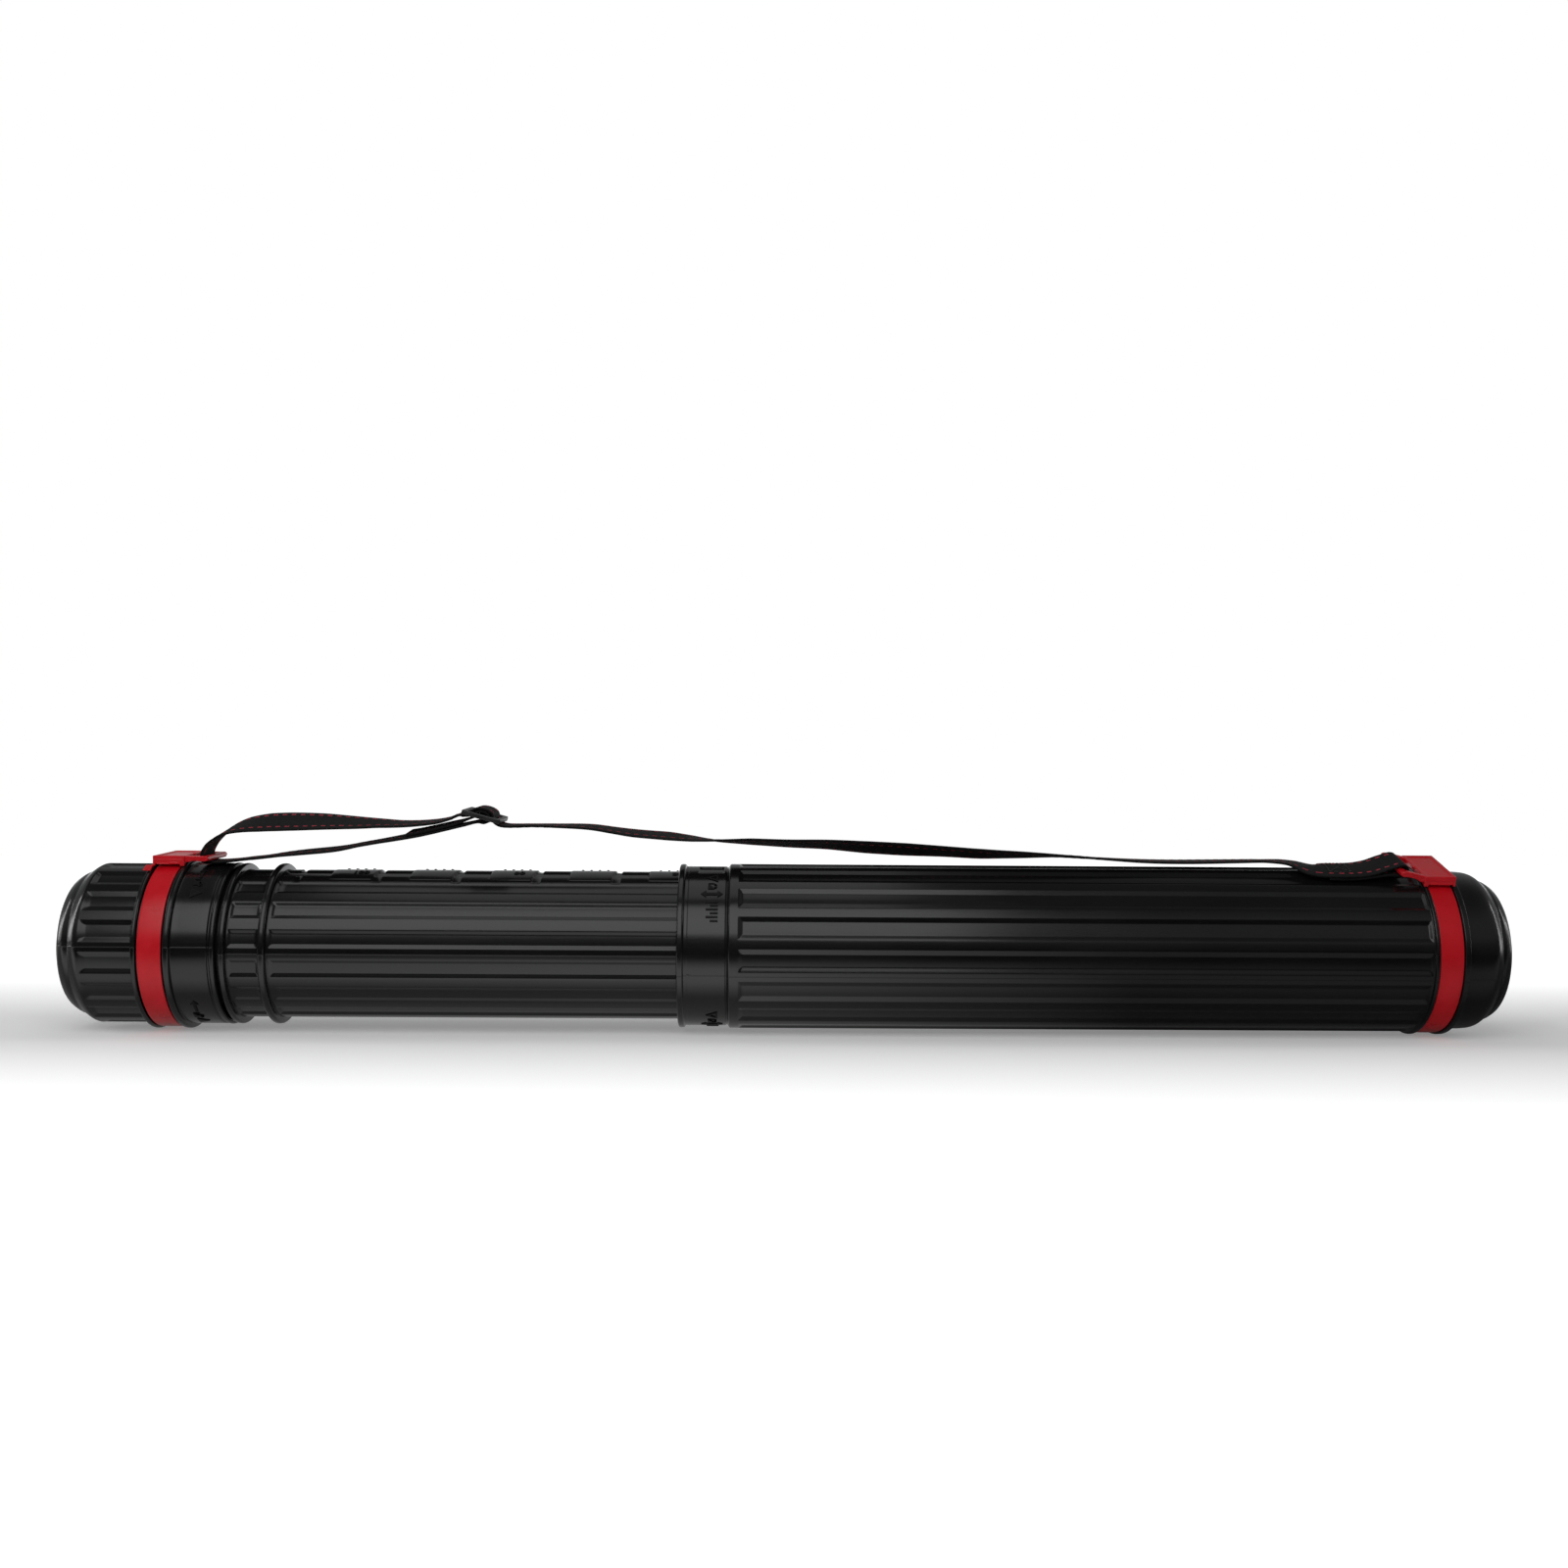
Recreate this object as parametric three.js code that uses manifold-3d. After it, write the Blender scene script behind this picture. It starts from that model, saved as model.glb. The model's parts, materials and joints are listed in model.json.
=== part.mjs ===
// Telescopic drawing tube with a shoulder strap, lying on its side.
// Millimetres. +X runs from the end cap to the closed base, +Z is up and -Y is the front.
// The moulded scale is on top. The origin is the middle of the bounding box's bottom face.
// Tables and part sizes give x along the tube, zero just inside the outer tube's mouth;
// the builders shift it by MID_X. Angles are degrees round the axis, from the top
// towards the front.
import * as THREE from 'three';
import { mergeVertices } from 'three/addons/utils/BufferGeometryUtils.js';
import Module from 'manifold-3d';

const wasm = await Module();
wasm.setup();

// ---------- driving dimensions ----------
const FLUTES = 16;              // recessed panels round each tube
const SEG = FLUTES * 4;         // vertices round the outside of every turned part
const BORE_SEG = 32;            // vertices round every bore
const BEAD_R = 54.0;            // tallest beads: the tube rests on these
const CAP_END = -387.5;         // closed end of the cap
const BASE_END = 514.6;         // closed end of the outer tube
const MID_X = (CAP_END + BASE_END) / 2;
const AXIS_Z = BEAD_R * Math.cos(Math.PI / SEG);
const WALL = 1.6;               // moulded wall
const OUTER_LAND_R = 52.25;     // outer tube, between the recessed panels
const OUTER_DEPTH = 1.4;        // depth of its panels
const INNER_LAND_R = 47.0;      // inner tube, between the flutes
const INNER_DEPTH = 1.2;
const INNER_BORE_R = INNER_LAND_R - INNER_DEPTH - WALL + 0.5;
const CAP_LAND_R = 50.4;        // cap, between the grip recesses
const CAP_DEPTH = 1.3;
const GROOVE_R = 51.0;          // floor of both ring grooves
const CAP_RING_X = -324.4;      // centre of the cap's ring groove
const BASE_RING_X = 470.5;      // centre of the base's ring groove
const BASE_RING_TURN = 15;      // the base ring sits turned towards the front
const STRAP_LEAN = 3;           // rings and strap lean this far towards the front
const PITCH = 50;               // one step of the length scale
const NOTCH_X = 6.4;            // locking lug, and the notch it drops into
const NOTCH_HALF = 2.1;         // half a notch's length
const LUG_ANGLE = 37.1;         // lug, in a flute next to the scale
const WEB_W = 25;               // webbing
const WEB_T = 1.2;

const MATERIALS = {
  shell: { color: 0x1b1b1d, roughness: 0.42 },
  innerTube: { color: 0x1a1a1c, roughness: 0.45 },
  band: { color: 0xb3141f, roughness: 0.35 },
  buckle: { color: 0xb5121d, roughness: 0.32 },
  adjuster: { color: 0x161616, roughness: 0.5 },
  webbing: { color: 0x1c1b1b, roughness: 0.9 },
  thread: { color: 0x8c1a22, roughness: 0.85 },
};

const rad = THREE.MathUtils.degToRad;

// ---------- solids ----------
function toManifold(geometry) {
  geometry.deleteAttribute('normal');
  geometry.deleteAttribute('uv');
  const merged = mergeVertices(geometry, 1e-4);
  const position = merged.attributes.position;
  const corners = merged.index.array;
  const index = [];
  let volume = 0;
  for (let i = 0; i < corners.length; i += 3) {
    const [a, b, c] = corners.slice(i, i + 3);
    if (a === b || b === c || a === c) continue;
    index.push(a, b, c);
    const [p, q, r] = [a, b, c].map((n) => new THREE.Vector3().fromBufferAttribute(position, n));
    volume += p.dot(q.cross(r));
  }
  // an inside-out surface has its triangles reversed
  if (volume < 0) {
    for (let i = 0; i < index.length; i += 3) {
      [index[i + 1], index[i + 2]] = [index[i + 2], index[i + 1]];
    }
  }
  return new wasm.Manifold(new wasm.Mesh({
    numProp: 3,
    vertProperties: new Float32Array(position.array),
    triVerts: new Uint32Array(index),
  }));
}

function fromManifold(solid) {
  const mesh = solid.getMesh();
  const geometry = new THREE.BufferGeometry();
  geometry.setAttribute('position', new THREE.Float32BufferAttribute(mesh.vertProperties, 3));
  geometry.setIndex(Array.from(mesh.triVerts));
  geometry.computeVertexNormals();
  return geometry;
}

// Turns a part about the tube's axis by the strap's lean.
const lean = (solid) => solid
  .translate([0, 0, -AXIS_Z])
  .rotate([STRAP_LEAN, 0, 0])
  .translate([0, 0, AXIS_Z]);

// Turns a geometry built about the X axis, then moves it onto the tube's axis.
function place(geometry, turn) {
  geometry.rotateX(rad(turn));
  geometry.translate(-MID_X, 0, AXIS_Z);
  return toManifold(geometry);
}

function extrude(outline, depth) {
  const shape = new THREE.Shape(outline.map(([x, y]) => new THREE.Vector2(x, y)));
  return new THREE.ExtrudeGeometry(shape, { depth, bevelEnabled: false });
}

// Extrudes a cross-section along X: outline x -> Y, outline y -> Z.
function extrudeAlongX(outline, length, x, z) {
  const matrix = new THREE.Matrix4().set(0, 0, 1, x, 1, 0, 0, 0, 0, 1, 0, z, 0, 0, 0, 1);
  return extrude(outline, length).applyMatrix4(matrix);
}

// A turned part about the tube's axis. Each station is [x, radius, depth, fluted]:
// depth is how far the panel floors sink there, and fluted moves the vertices
// from even spacing onto the panel edges.
function turned(stations, layout, seg = SEG) {
  const profile = stations.map(([x, radius]) => new THREE.Vector2(radius, x));
  const geometry = new THREE.LatheGeometry(profile, seg);
  const position = geometry.attributes.position;
  for (let i = 0; i <= seg; i++) {
    stations.forEach(([x, radius, depth = 0, fluted = 0], j) => {
      const { angle, floor } = layout(i % seg, fluted);
      const r = radius - (floor ? depth : 0);
      const y = -r * Math.sin(angle);
      const z = AXIS_Z + r * Math.cos(angle);
      position.setXYZ(i * stations.length + j, x - MID_X, y, z);
    });
  }
  return toManifold(geometry);
}

// Four vertices to a panel: its two edges, and the two edges of its floor between them.
// evenCentre and fluteCentre are the first panel's middle in the two spacings.
function layFlutes({ evenCentre, fluteCentre, halfFloor, halfPanel }) {
  const edges = [-halfPanel, -halfFloor, halfFloor, halfPanel];
  return (i, fluted) => {
    const panel = Math.floor(i / 4);
    const corner = i % 4;
    const even = evenCentre + (corner - 1.5) * (360 / SEG);
    const onEdge = fluteCentre + edges[corner];
    return {
      angle: rad((360 / FLUTES) * panel + even + (onEdge - even) * fluted),
      floor: corner === 1 || corner === 2,
    };
  };
}

function bore(stations) {
  const layEven = (i) => ({ angle: rad((360 / BORE_SEG) * (i + 0.5)), floor: false });
  return turned(stations, layEven, BORE_SEG);
}

const polar = (r, angle) => [-r * Math.sin(rad(angle)), r * Math.cos(rad(angle))];

function arc(r, from, to, steps) {
  return Array.from({ length: steps + 1 }, (_, i) => polar(r, from + ((to - from) * i) / steps));
}

// A block between two radii and two angles round the axis.
function sector(rIn, rOut, from, to, x0, x1, steps) {
  const outline = [...arc(rOut, from, to, steps), ...arc(rIn, from, to, steps).reverse()];
  return toManifold(extrudeAlongX(outline, x1 - x0, x0 - MID_X, AXIS_Z));
}

// A rectangular block: along the axis (ends in either order), across it, and in
// height above the axis, turned towards the front.
function block(x0, x1, y0, y1, z0, z1, turn) {
  const geometry = new THREE.BoxGeometry(Math.abs(x1 - x0), y1 - y0, z1 - z0);
  geometry.translate((x0 + x1) / 2, (y0 + y1) / 2, (z0 + z1) / 2);
  return place(geometry, turn);
}

// Adds raised marks, repeated at each turn: flat outlines [x, angle] wrapped round the axis.
function addMarks(body, turns, rIn, rOut, outlines) {
  for (const turn of turns) {
    for (const outline of outlines) {
      const geometry = extrude(outline.map(([x, angle]) => [x, turn + angle]), 1);
      const position = geometry.attributes.position;
      for (let i = 0; i < position.count; i++) {
        const r = position.getZ(i) > 0.5 ? rOut : rIn;
        const [y, z] = polar(r, position.getY(i));
        position.setXYZ(i, position.getX(i) - MID_X, y, AXIS_Z + z);
      }
      body = body.add(toManifold(geometry));
    }
  }
  return body;
}

// ---------- outer tube: fluted barrel, collar, ring groove, closed base ----------
function outerTube() {
  const land = OUTER_LAND_R;
  let body = turned([
    [BASE_END, 0], [BASE_END, 36], [511.6, 42.4], [505.4, 45.4], [503.8, 46.4],
    [498, 50.2], [482.4, 50.2],
    // ring groove between two beads
    [481.5, BEAD_R], [478.4, BEAD_R], [478.2, GROOVE_R], [462.8, GROOVE_R],
    [462.6, BEAD_R], [460.6, BEAD_R], [460.1, land],
    // recessed panels
    [459.4, land, 0, 1], [455.7, land, OUTER_DEPTH, 1],
    [35.5, land, OUTER_DEPTH, 1], [32.9, land, 0, 1],
    // collar and mouth
    [27.0, land], [25.8, 50.1], [24.6, 50.65], [-0.8, 50.65],
    [-1.4, 52.1], [-4.4, 52.1], [-4.9, 51.4], [-4.9, 0],
  ], layFlutes({ evenCentre: 5.625, fluteCentre: 5.5, halfFloor: 4.5, halfPanel: 7.8 }));
  body = body.subtract(bore([
    [-9, 0], [-9, 49.05], [24.3, 49.05], [25.8, 47.9], [27.5, 49.25], [492, 49.25],
    [498.4, 47.8], [503, 44.4], [510.4, 40.6], [BASE_END - WALL, 34.8], [BASE_END - WALL, 0],
  ]));
  // locking lug inside the mouth, and a shallow recess in the collar
  body = body.add(block(NOTCH_X - 1.6, NOTCH_X + 1.6, -2.3, 2.3, 46.3, 50.0, LUG_ANGLE));
  body = body.subtract(sector(49.9, 55, 7, 21, 8, 23, 3));
  // arrowheads and short bars on the collar
  return addMarks(body, [0, 180], 50.2, 51.1, [
    [[14.5, 23], [21.5, 27], [21.5, 19]],
    [[16.5, 33], [19.5, 33], [19.5, 45], [16.5, 45]],
  ]);
}

// ---------- inner tube: neck, stop beads, flutes, notched scale ----------
function innerTube() {
  const land = INNER_LAND_R;
  const stopR = 51;
  let body = turned([
    // neck and first stop bead
    [-334, 0], [-334, land], [-283.4, land], [-283.1, stopR], [-280.1, stopR], [-279.8, land],
    // short flutes
    [-278.8, land, 0, 1], [-277.0, land, INNER_DEPTH, 1],
    [-262.4, land, INNER_DEPTH, 1], [-260.6, land, 0, 1],
    // second stop bead
    [-260.0, land], [-259.7, stopR], [-255.7, stopR], [-255.4, land],
    // long flutes and end rim
    [-253.9, land, 0, 1], [-251.7, land, INNER_DEPTH, 1],
    [185.6, land, INNER_DEPTH, 1], [187.6, land, 0, 1], [188.6, 48.3], [195, 48.3], [195, 0],
  ], layFlutes({ evenCentre: 14.6, fluteCentre: 14.6, halfFloor: 4.1, halfPanel: 6.9 }));
  body = body.subtract(bore([[-342, 0], [-342, INNER_BORE_R], [200, INNER_BORE_R], [200, 0]]));
  // raised scale blocks, each ending at a notch; the first notch has none
  const notches = [];
  for (let step = -5; step <= 3; step++) notches.push(NOTCH_X + step * PITCH);
  for (const x of notches.slice(1)) {
    body = body.add(sector(45.5, 47.3, -16, 26.7, x - 30.7, x - NOTCH_HALF, 4));
  }
  for (const x of notches) {
    body = body.subtract(sector(45.9, 50, -18, 40, x - NOTCH_HALF, x + NOTCH_HALF, 8));
  }
  // bayonet rib round the neck, in four lengths
  for (const centre of [45, 135, 225, 315]) {
    body = body.add(sector(46.3, 48.3, centre - 30, centre + 30, -305, -302, 6));
  }
  return body;
}

// ---------- end cap: dome, grip recesses, ring groove, collar ----------
function endCap() {
  const land = CAP_LAND_R;
  let body = turned([
    [CAP_END, 0], [CAP_END, 35], [-384.4, 41.8], [-377, 46], [-375.4, 46.2], [-370.6, 49.6],
    // grip recesses
    [-368.3, land, 0, 1], [-365, land, CAP_DEPTH, 1],
    [-336.6, land, CAP_DEPTH, 1], [-336.2, land, 0, 1],
    // ring groove between two beads
    [-335.4, BEAD_R], [-333, BEAD_R], [-332.6, GROOVE_R], [-316.1, GROOVE_R],
    [-315.8, BEAD_R], [-312.7, BEAD_R],
    // collar
    [-312.2, 50.9], [-290.4, 50.9], [-289.8, 49.9], [-288.9, 49.9],
    [-288.5, 51.2], [-286.2, 51.2], [-286.0, 50.8], [-286.0, 0],
  ], layFlutes({ evenCentre: 11.25, fluteCentre: 9.8, halfFloor: 4.6, halfPanel: 7.75 }));
  body = body.subtract(bore([
    [-282, 0], [-282, 48.9], [-292.8, 48.9], [-293.6, 49.3], [-334.6, 49.3], [-336.8, 47.5],
    [-368, 47.4], [-376, 43.6], [-382.8, 39.8], [CAP_END + WALL, 33.6], [CAP_END + WALL, 0],
  ]));
  // four short lugs inside the collar
  for (const centre of [0, 90, 180, 270]) {
    body = body.add(sector(47.5, 49.9, centre - 9, centre + 9, -300.4, -297.6, 3));
  }
  // short bars and arrowheads on the collar
  return addMarks(body, [0, 130], 50.5, 51.3, [
    [[-305, 31], [-298, 31], [-298, 34], [-305, 34]],
    [[-305.5, 41], [-297.5, 46], [-297.5, 36]],
  ]);
}

// ---------- ring bands: a strip with both ends hooked up into the buckle ----------
const BAND = {
  inR: 51.4,
  outR: 52.9,
  hookR: 55.3,      // tips of the hooks
  width: 14.4,
  hookHalfW: 4.8,   // the hooks are narrower than the strip
  gap: 6.6,         // degrees from the buckle's middle to the near side of each hook
  hookTurn: 1.7,    // degrees each hook takes up
  steps: 44,
};

function band(ringX, turn) {
  const { inR, outR, hookR, width, hookHalfW, gap, steps } = BAND;
  const far = gap + BAND.hookTurn;
  const outline = [
    ...arc(outR, far, 360 - far, steps),
    polar(hookR, 360 - far), polar(hookR, 360 - gap),
    ...arc(inR, gap, 360 - gap, steps).reverse(),
    polar(hookR, gap), polar(hookR, far),
  ];
  let body = place(extrudeAlongX(outline, width, ringX - width / 2, 0), turn);
  for (const side of [-1, 1]) {
    const edge = ringX + side * hookHalfW;
    body = body.subtract(block(edge, ringX + side * 9, -9, 9, 52.4, 57, turn));
  }
  return body;
}

// ---------- buckles: box over the band, and a loop for the webbing ----------
const BUCKLE = {
  halfY: 20,
  top: 57.2,
  saddleR: 54.35,       // underside of the box
  bossSaddleR: 53.25,   // underside of the boss
  channelHalfW: 7.8,    // channel over the band
  bossHalfY: 9,
  armY: 16.6,           // middle of each loop arm
  armW: 4,
  barEnd: 24.8,         // far side of the loop's bar
  barLow: 53.4,
  barHigh: 56.8,
};

// dir +1 puts the loop on the +X side; rise lifts the loop's bar.
function buckle(ringX, dir, turn, rise) {
  const { halfY, top, channelHalfW, bossHalfY, armY, armW, barEnd } = BUCKLE;
  const low = BUCKLE.barLow + rise;
  const high = BUCKLE.barHigh + rise;
  // along is measured from the ring's centre towards the loop
  const alongX = (along) => ringX + dir * along;
  const box = (along0, along1, ...rest) => block(alongX(along0), alongX(along1), ...rest, turn);
  const cutBoth = (solid, along0, along1, y0, y1, z0, z1) => solid
    .subtract(box(along0, along1, -y1, -y0, z0, z1))
    .subtract(box(along0, along1, y0, y1, z0, z1));
  const saddle = (r) => {
    const x0 = alongX(-12);
    const x1 = alongX(30);
    const geometry = new THREE.CylinderGeometry(r, r, Math.abs(x1 - x0), 120);
    geometry.rotateZ(Math.PI / 2);
    geometry.translate((x0 + x1) / 2 - MID_X, 0, AXIS_Z);
    return toManifold(geometry);
  };

  let body = box(-9.2, 10.5, -halfY, halfY, 46, top).subtract(saddle(BUCKLE.saddleR));
  // channel over the band, lower where it passes out at each end
  body = cutBoth(body, -channelHalfW, channelHalfW, 7.4, halfY - 2.2, 40, 54.0);
  body = cutBoth(body, -channelHalfW, channelHalfW, halfY - 2.3, halfY + 1, 40, 51.9);
  // boss, and its slots for the band's hooked ends
  const boss = box(-7.6, 7.6, -bossHalfY, bossHalfY, 50, 55.6);
  body = body.add(boss.subtract(saddle(BUCKLE.bossSaddleR)));
  body = cutBoth(body, -5.2, 5.2, 5.4, 8.2, 46, 56.0);
  // framed top panel
  body = body.subtract(box(-7.4, 8.2, -17.6, 17.6, top - 0.6, top + 1));
  // loop: two arms and the bar; arm outline is [x, height above the axis]
  const arm = [
    [alongX(9.6), 53.6], [alongX(9.6), BUCKLE.barHigh], [alongX(20.6), high],
    [alongX(barEnd), high], [alongX(barEnd), low], [alongX(20.6), low],
    [alongX(15), 54.0 + rise * 0.4],
  ];
  for (const side of [1, -1]) {
    const plate = extrude(arm, armW);
    plate.rotateX(Math.PI / 2);
    plate.translate(0, side * armY + armW / 2, 0);
    body = body.add(place(plate, turn));
  }
  return body.add(box(20.5, barEnd, -18, 18, low, high));
}

// ---------- strap adjuster: a three-bar slider, tilted ----------
const ADJUSTER = { x: -129.7, z: 82.5, tilt: 15, thickness: 2.4 };   // z is above the axis
const ADJUSTER_OUTLINE = [   // [along, across]
  [-12.6, -15], [-10.6, -16.8], [10.6, -16.8], [12.6, -15],
  [12.6, 15], [10.6, 16.8], [-10.6, 16.8], [-12.6, 15],
];

function strapAdjuster() {
  const tilted = (geometry) => {
    geometry.rotateY(rad(ADJUSTER.tilt));
    geometry.translate(ADJUSTER.x - MID_X, 0, AXIS_Z + ADJUSTER.z);
    return toManifold(geometry);
  };
  const plate = extrude(ADJUSTER_OUTLINE, ADJUSTER.thickness);
  plate.translate(0, 0, -ADJUSTER.thickness / 2);
  let slider = tilted(plate);
  for (const slotX of [-6.0, 6.0]) {
    const slot = new THREE.BoxGeometry(7.6, 26.8, 4);
    slot.translate(slotX, 0, 0);
    slider = slider.subtract(tilted(slot));
  }
  return slider;
}

// ---------- webbing: one length, sewn round the base buckle's bar, run through
// the adjuster and round the cap buckle's bar, and sewn round the adjuster ----------
// A point [along, above] in the adjuster's tilted frame, as a webbing point.
function atAdjuster([along, above]) {
  const c = Math.cos(rad(ADJUSTER.tilt));
  const s = Math.sin(rad(ADJUSTER.tilt));
  return [ADJUSTER.x + along * c + above * s, ADJUSTER.z - along * s + above * c];
}

// [x, distance from the axis, angle round the axis = 0, roll = 0]
const WEB = [
  // lower layer of the sewn end, round the base buckle's bar, and back over it
  ...[
    [404, 53.4], [414, 53.4], [424, 53.7], [434, 54.4], [441, 54.95], [446.5, 54.9],
    [450.2, 55.1], [451.9, 56.6], [452.1, 58.8], [451.2, 60.8], [448.4, 61.5],
    [442, 59.5], [432, 56.4], [420, 55.15], [408, 54.95],
  ].map(([x, r]) => [x, r, BASE_RING_TURN]),
  [398, 54.7, 13],
  // main run
  [386, 55.9, 4, -1], [368, 56.5, 0, -2], [350, 56.3, 0, -2], [312, 55.7, 0, -2],
  [288, 56.1, 0, -2], [263, 57.4, 0, -3], [238, 58.8, 0, -5], [213, 59.3, 0, -12],
  [188, 59.7, 0, -17.4], [164, 61.0, 0, -18.5], [139, 62.2, 0, -20.7], [114, 63.6, 0, -19.5],
  [89, 65.3, 0, -16], [64, 65.9, 0, -14], [40, 66.9, 0, -12], [18, 67.4, 0, -5],
  [2, 68.7, 0, 3], [-12, 70.1, 0, 7], [-35, 71.9, 0, 6], [-47, 73.5, 0, 4],
  [-62, 75.5, 0, 2], [-84, 76.1, 0, -1], [-98, 76.2, 0, -2],
  // through the adjuster
  ...[
    [15, -2.6], [10.6, -2.5], [7.9, -1.2], [6.9, 1.4], [5.5, 3.5], [0.4, 4.8],
    [-4.6, 3.9], [-6.8, 1.4], [-8.0, -1.4], [-11, -2.7], [-15.2, -3.4],
  ].map(atAdjuster),
  // upper run
  [-150, 80.9], [-158, 78.7], [-171, 77.2, 0, 1], [-184, 76.7, 0, 3.5], [-196, 77.0, 0, 7],
  [-208, 77.2, 0, 11], [-221, 77.6, 0, 15], [-233, 77.9, 0, 19], [-246, 77.9, 0, 22],
  [-258, 77.7, 0, 23.5], [-270, 77.1, 0, 23], [-282, 75.5, 0, 18], [-291, 72.6, 0, 11],
  [-298, 68.3, 0, 5], [-303, 63.6, 0, 1],
  // round the cap buckle's bar
  [-305.7, 58.9], [-306.3, 55.4], [-305.6, 53.2], [-303.8, 52.2], [-301, 52.0],
  // lower run
  [-296, 52.2], [-288, 52.9], [-279, 54.1], [-270, 55.1], [-258, 56.9, 0, 1],
  [-246, 58.3, 0, 2], [-221, 61.0, 0, 2], [-208, 63.6, 0, 1], [-196, 65.8, 0, 1.5],
  [-186, 67.6, 0, 2], [-179, 68.9, 0, 1], [-170, 70.5], [-160, 72.7], [-151, 74.8], [-141, 77.0],
  // sewn end round the adjuster's middle bar
  ...[
    [-1.6, -4.2], [2.6, -3.6], [4.4, -1.6], [4.3, 0.9], [2.6, 2.5], [0, 2.9],
    [-2.6, 2.5], [-4.2, 0.8], [-4.9, -1.2], [-7.6, -3.6],
  ].map(atAdjuster),
  [-144.2, 78.8], [-151, 77.0], [-160, 74.8], [-170, 72.5], [-178, 71.1],
];
const LAST = WEB.length - 1;
const WEB_ROLLS = WEB.map(([, , angle = 0, roll = 0]) => angle + roll);
const webCurve = new THREE.CatmullRomCurve3(
  WEB.map(([x, r, angle = 0]) => {
    const [y, z] = polar(r, angle);
    return new THREE.Vector3(x - MID_X, y, AXIS_Z + z);
  }),
  false,
  'centripetal',
);

// The sewn tacks' stretches of the webbing, from places in the WEB table.
const BASE_TACK = [13.1 / LAST, 14.3 / LAST];
const TAIL_TACK = [(LAST - 1.85) / LAST, (LAST - 0.15) / LAST];

function webFrame(t) {
  const i = Math.min(Math.floor(t * LAST), LAST - 1);
  const f = t * LAST - i;
  const roll = rad(WEB_ROLLS[i] * (1 - f) + WEB_ROLLS[i + 1] * f);
  const tangent = webCurve.getTangent(t);
  const flat = new THREE.Vector3(0, -Math.cos(roll), -Math.sin(roll));
  const across = flat.clone().addScaledVector(tangent, -flat.dot(tangent)).normalize();
  const normal = new THREE.Vector3().crossVectors(tangent, across).normalize();
  return { centre: webCurve.getPoint(t), across, normal };
}

// Parameters spaced by bend and distance, with a station at each tack's ends.
function webStations() {
  const samples = 6000;
  const maxBend = rad(14);
  const maxGap = 20;
  const stops = [...BASE_TACK, ...TAIL_TACK];
  const stations = [0];
  let lastTangent = webCurve.getTangent(0);
  let lastPoint = webCurve.getPoint(0);
  for (let i = 1; i <= samples; i++) {
    const stop = stops.find((v) => v > (i - 1) / samples && v <= i / samples);
    const t = stop ?? i / samples;
    const tangent = webCurve.getTangent(t);
    const point = webCurve.getPoint(t);
    if (i === samples || stop !== undefined
      || tangent.angleTo(lastTangent) > maxBend || point.distanceTo(lastPoint) > maxGap) {
      stations.push(t);
      lastTangent = tangent;
      lastPoint = point;
    }
  }
  return stations;
}
const STATIONS = webStations();

// A strip along the webbing's path, between two offsets along its normal.
function webbing(stations, halfW, offset0, offset1) {
  const spans = stations.length - 1;
  const geometry = new THREE.BoxGeometry(1, 1, 1, spans, 1, 1);
  const position = geometry.attributes.position;
  for (let i = 0; i < position.count; i++) {
    const station = Math.round((position.getX(i) + 0.5) * spans);
    const { centre, across, normal } = webFrame(stations[station]);
    centre.addScaledVector(across, position.getY(i) > 0 ? halfW : -halfW);
    centre.addScaledVector(normal, position.getZ(i) > 0 ? offset1 : offset0);
    position.setXYZ(i, centre.x, centre.y, centre.z);
  }
  return toManifold(geometry);
}

// Sewn tack: a rectangular frame of thread just above the webbing at a sewn end.
function tack([start, end]) {
  const gap = 0.3;
  const thickness = 0.5;
  const border = (end - start) * 0.16;
  const normalIsUp = webFrame((start + end) / 2).normal.z > 0;
  const offset = normalIsUp ? WEB_T / 2 + gap : -WEB_T / 2 - gap - thickness;
  const stretch = STATIONS.filter((t) => t >= start && t <= end);
  const opening = webbing([start + border, end - border], 7.1, offset - 1, offset + 1.5);
  return webbing(stretch, 8.5, offset, offset + thickness).subtract(opening);
}

// ---------- assembly ----------
const group = new THREE.Group();
group.name = 'drawing_tube';

function add(name, solid, finish) {
  const material = new THREE.MeshStandardMaterial({ ...finish, metalness: 0, flatShading: true });
  const mesh = new THREE.Mesh(fromManifold(solid), material);
  mesh.name = name;
  group.add(mesh);
}

const strap = webbing(STATIONS, WEB_W / 2, -WEB_T / 2, WEB_T / 2);
const baseBuckle = buckle(BASE_RING_X, -1, BASE_RING_TURN, 2.9);

add('outer_tube', outerTube(), MATERIALS.shell);
add('inner_tube', innerTube(), MATERIALS.innerTube);
add('end_cap', endCap(), MATERIALS.shell);
add('cap_ring_band', lean(band(CAP_RING_X, 0)), MATERIALS.band);
add('base_ring_band', lean(band(BASE_RING_X, BASE_RING_TURN)), MATERIALS.band);
add('cap_buckle', lean(buckle(CAP_RING_X, 1, 0, 0)), MATERIALS.buckle);
add('base_buckle', lean(baseBuckle), MATERIALS.buckle);
add('strap_adjuster', lean(strapAdjuster()), MATERIALS.adjuster);
add('shoulder_strap', lean(strap), MATERIALS.webbing);
add('base_stitch_tack', lean(tack(BASE_TACK)), MATERIALS.thread);
add('adjuster_stitch_tack', lean(tack(TAIL_TACK)), MATERIALS.thread);

export default group;
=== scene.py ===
import json
from contextlib import contextmanager
from math import ceil, cos, hypot, pi, radians, sin, sqrt

import bmesh
import bpy
import numpy as np
from mathutils import Matrix, Vector


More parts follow.
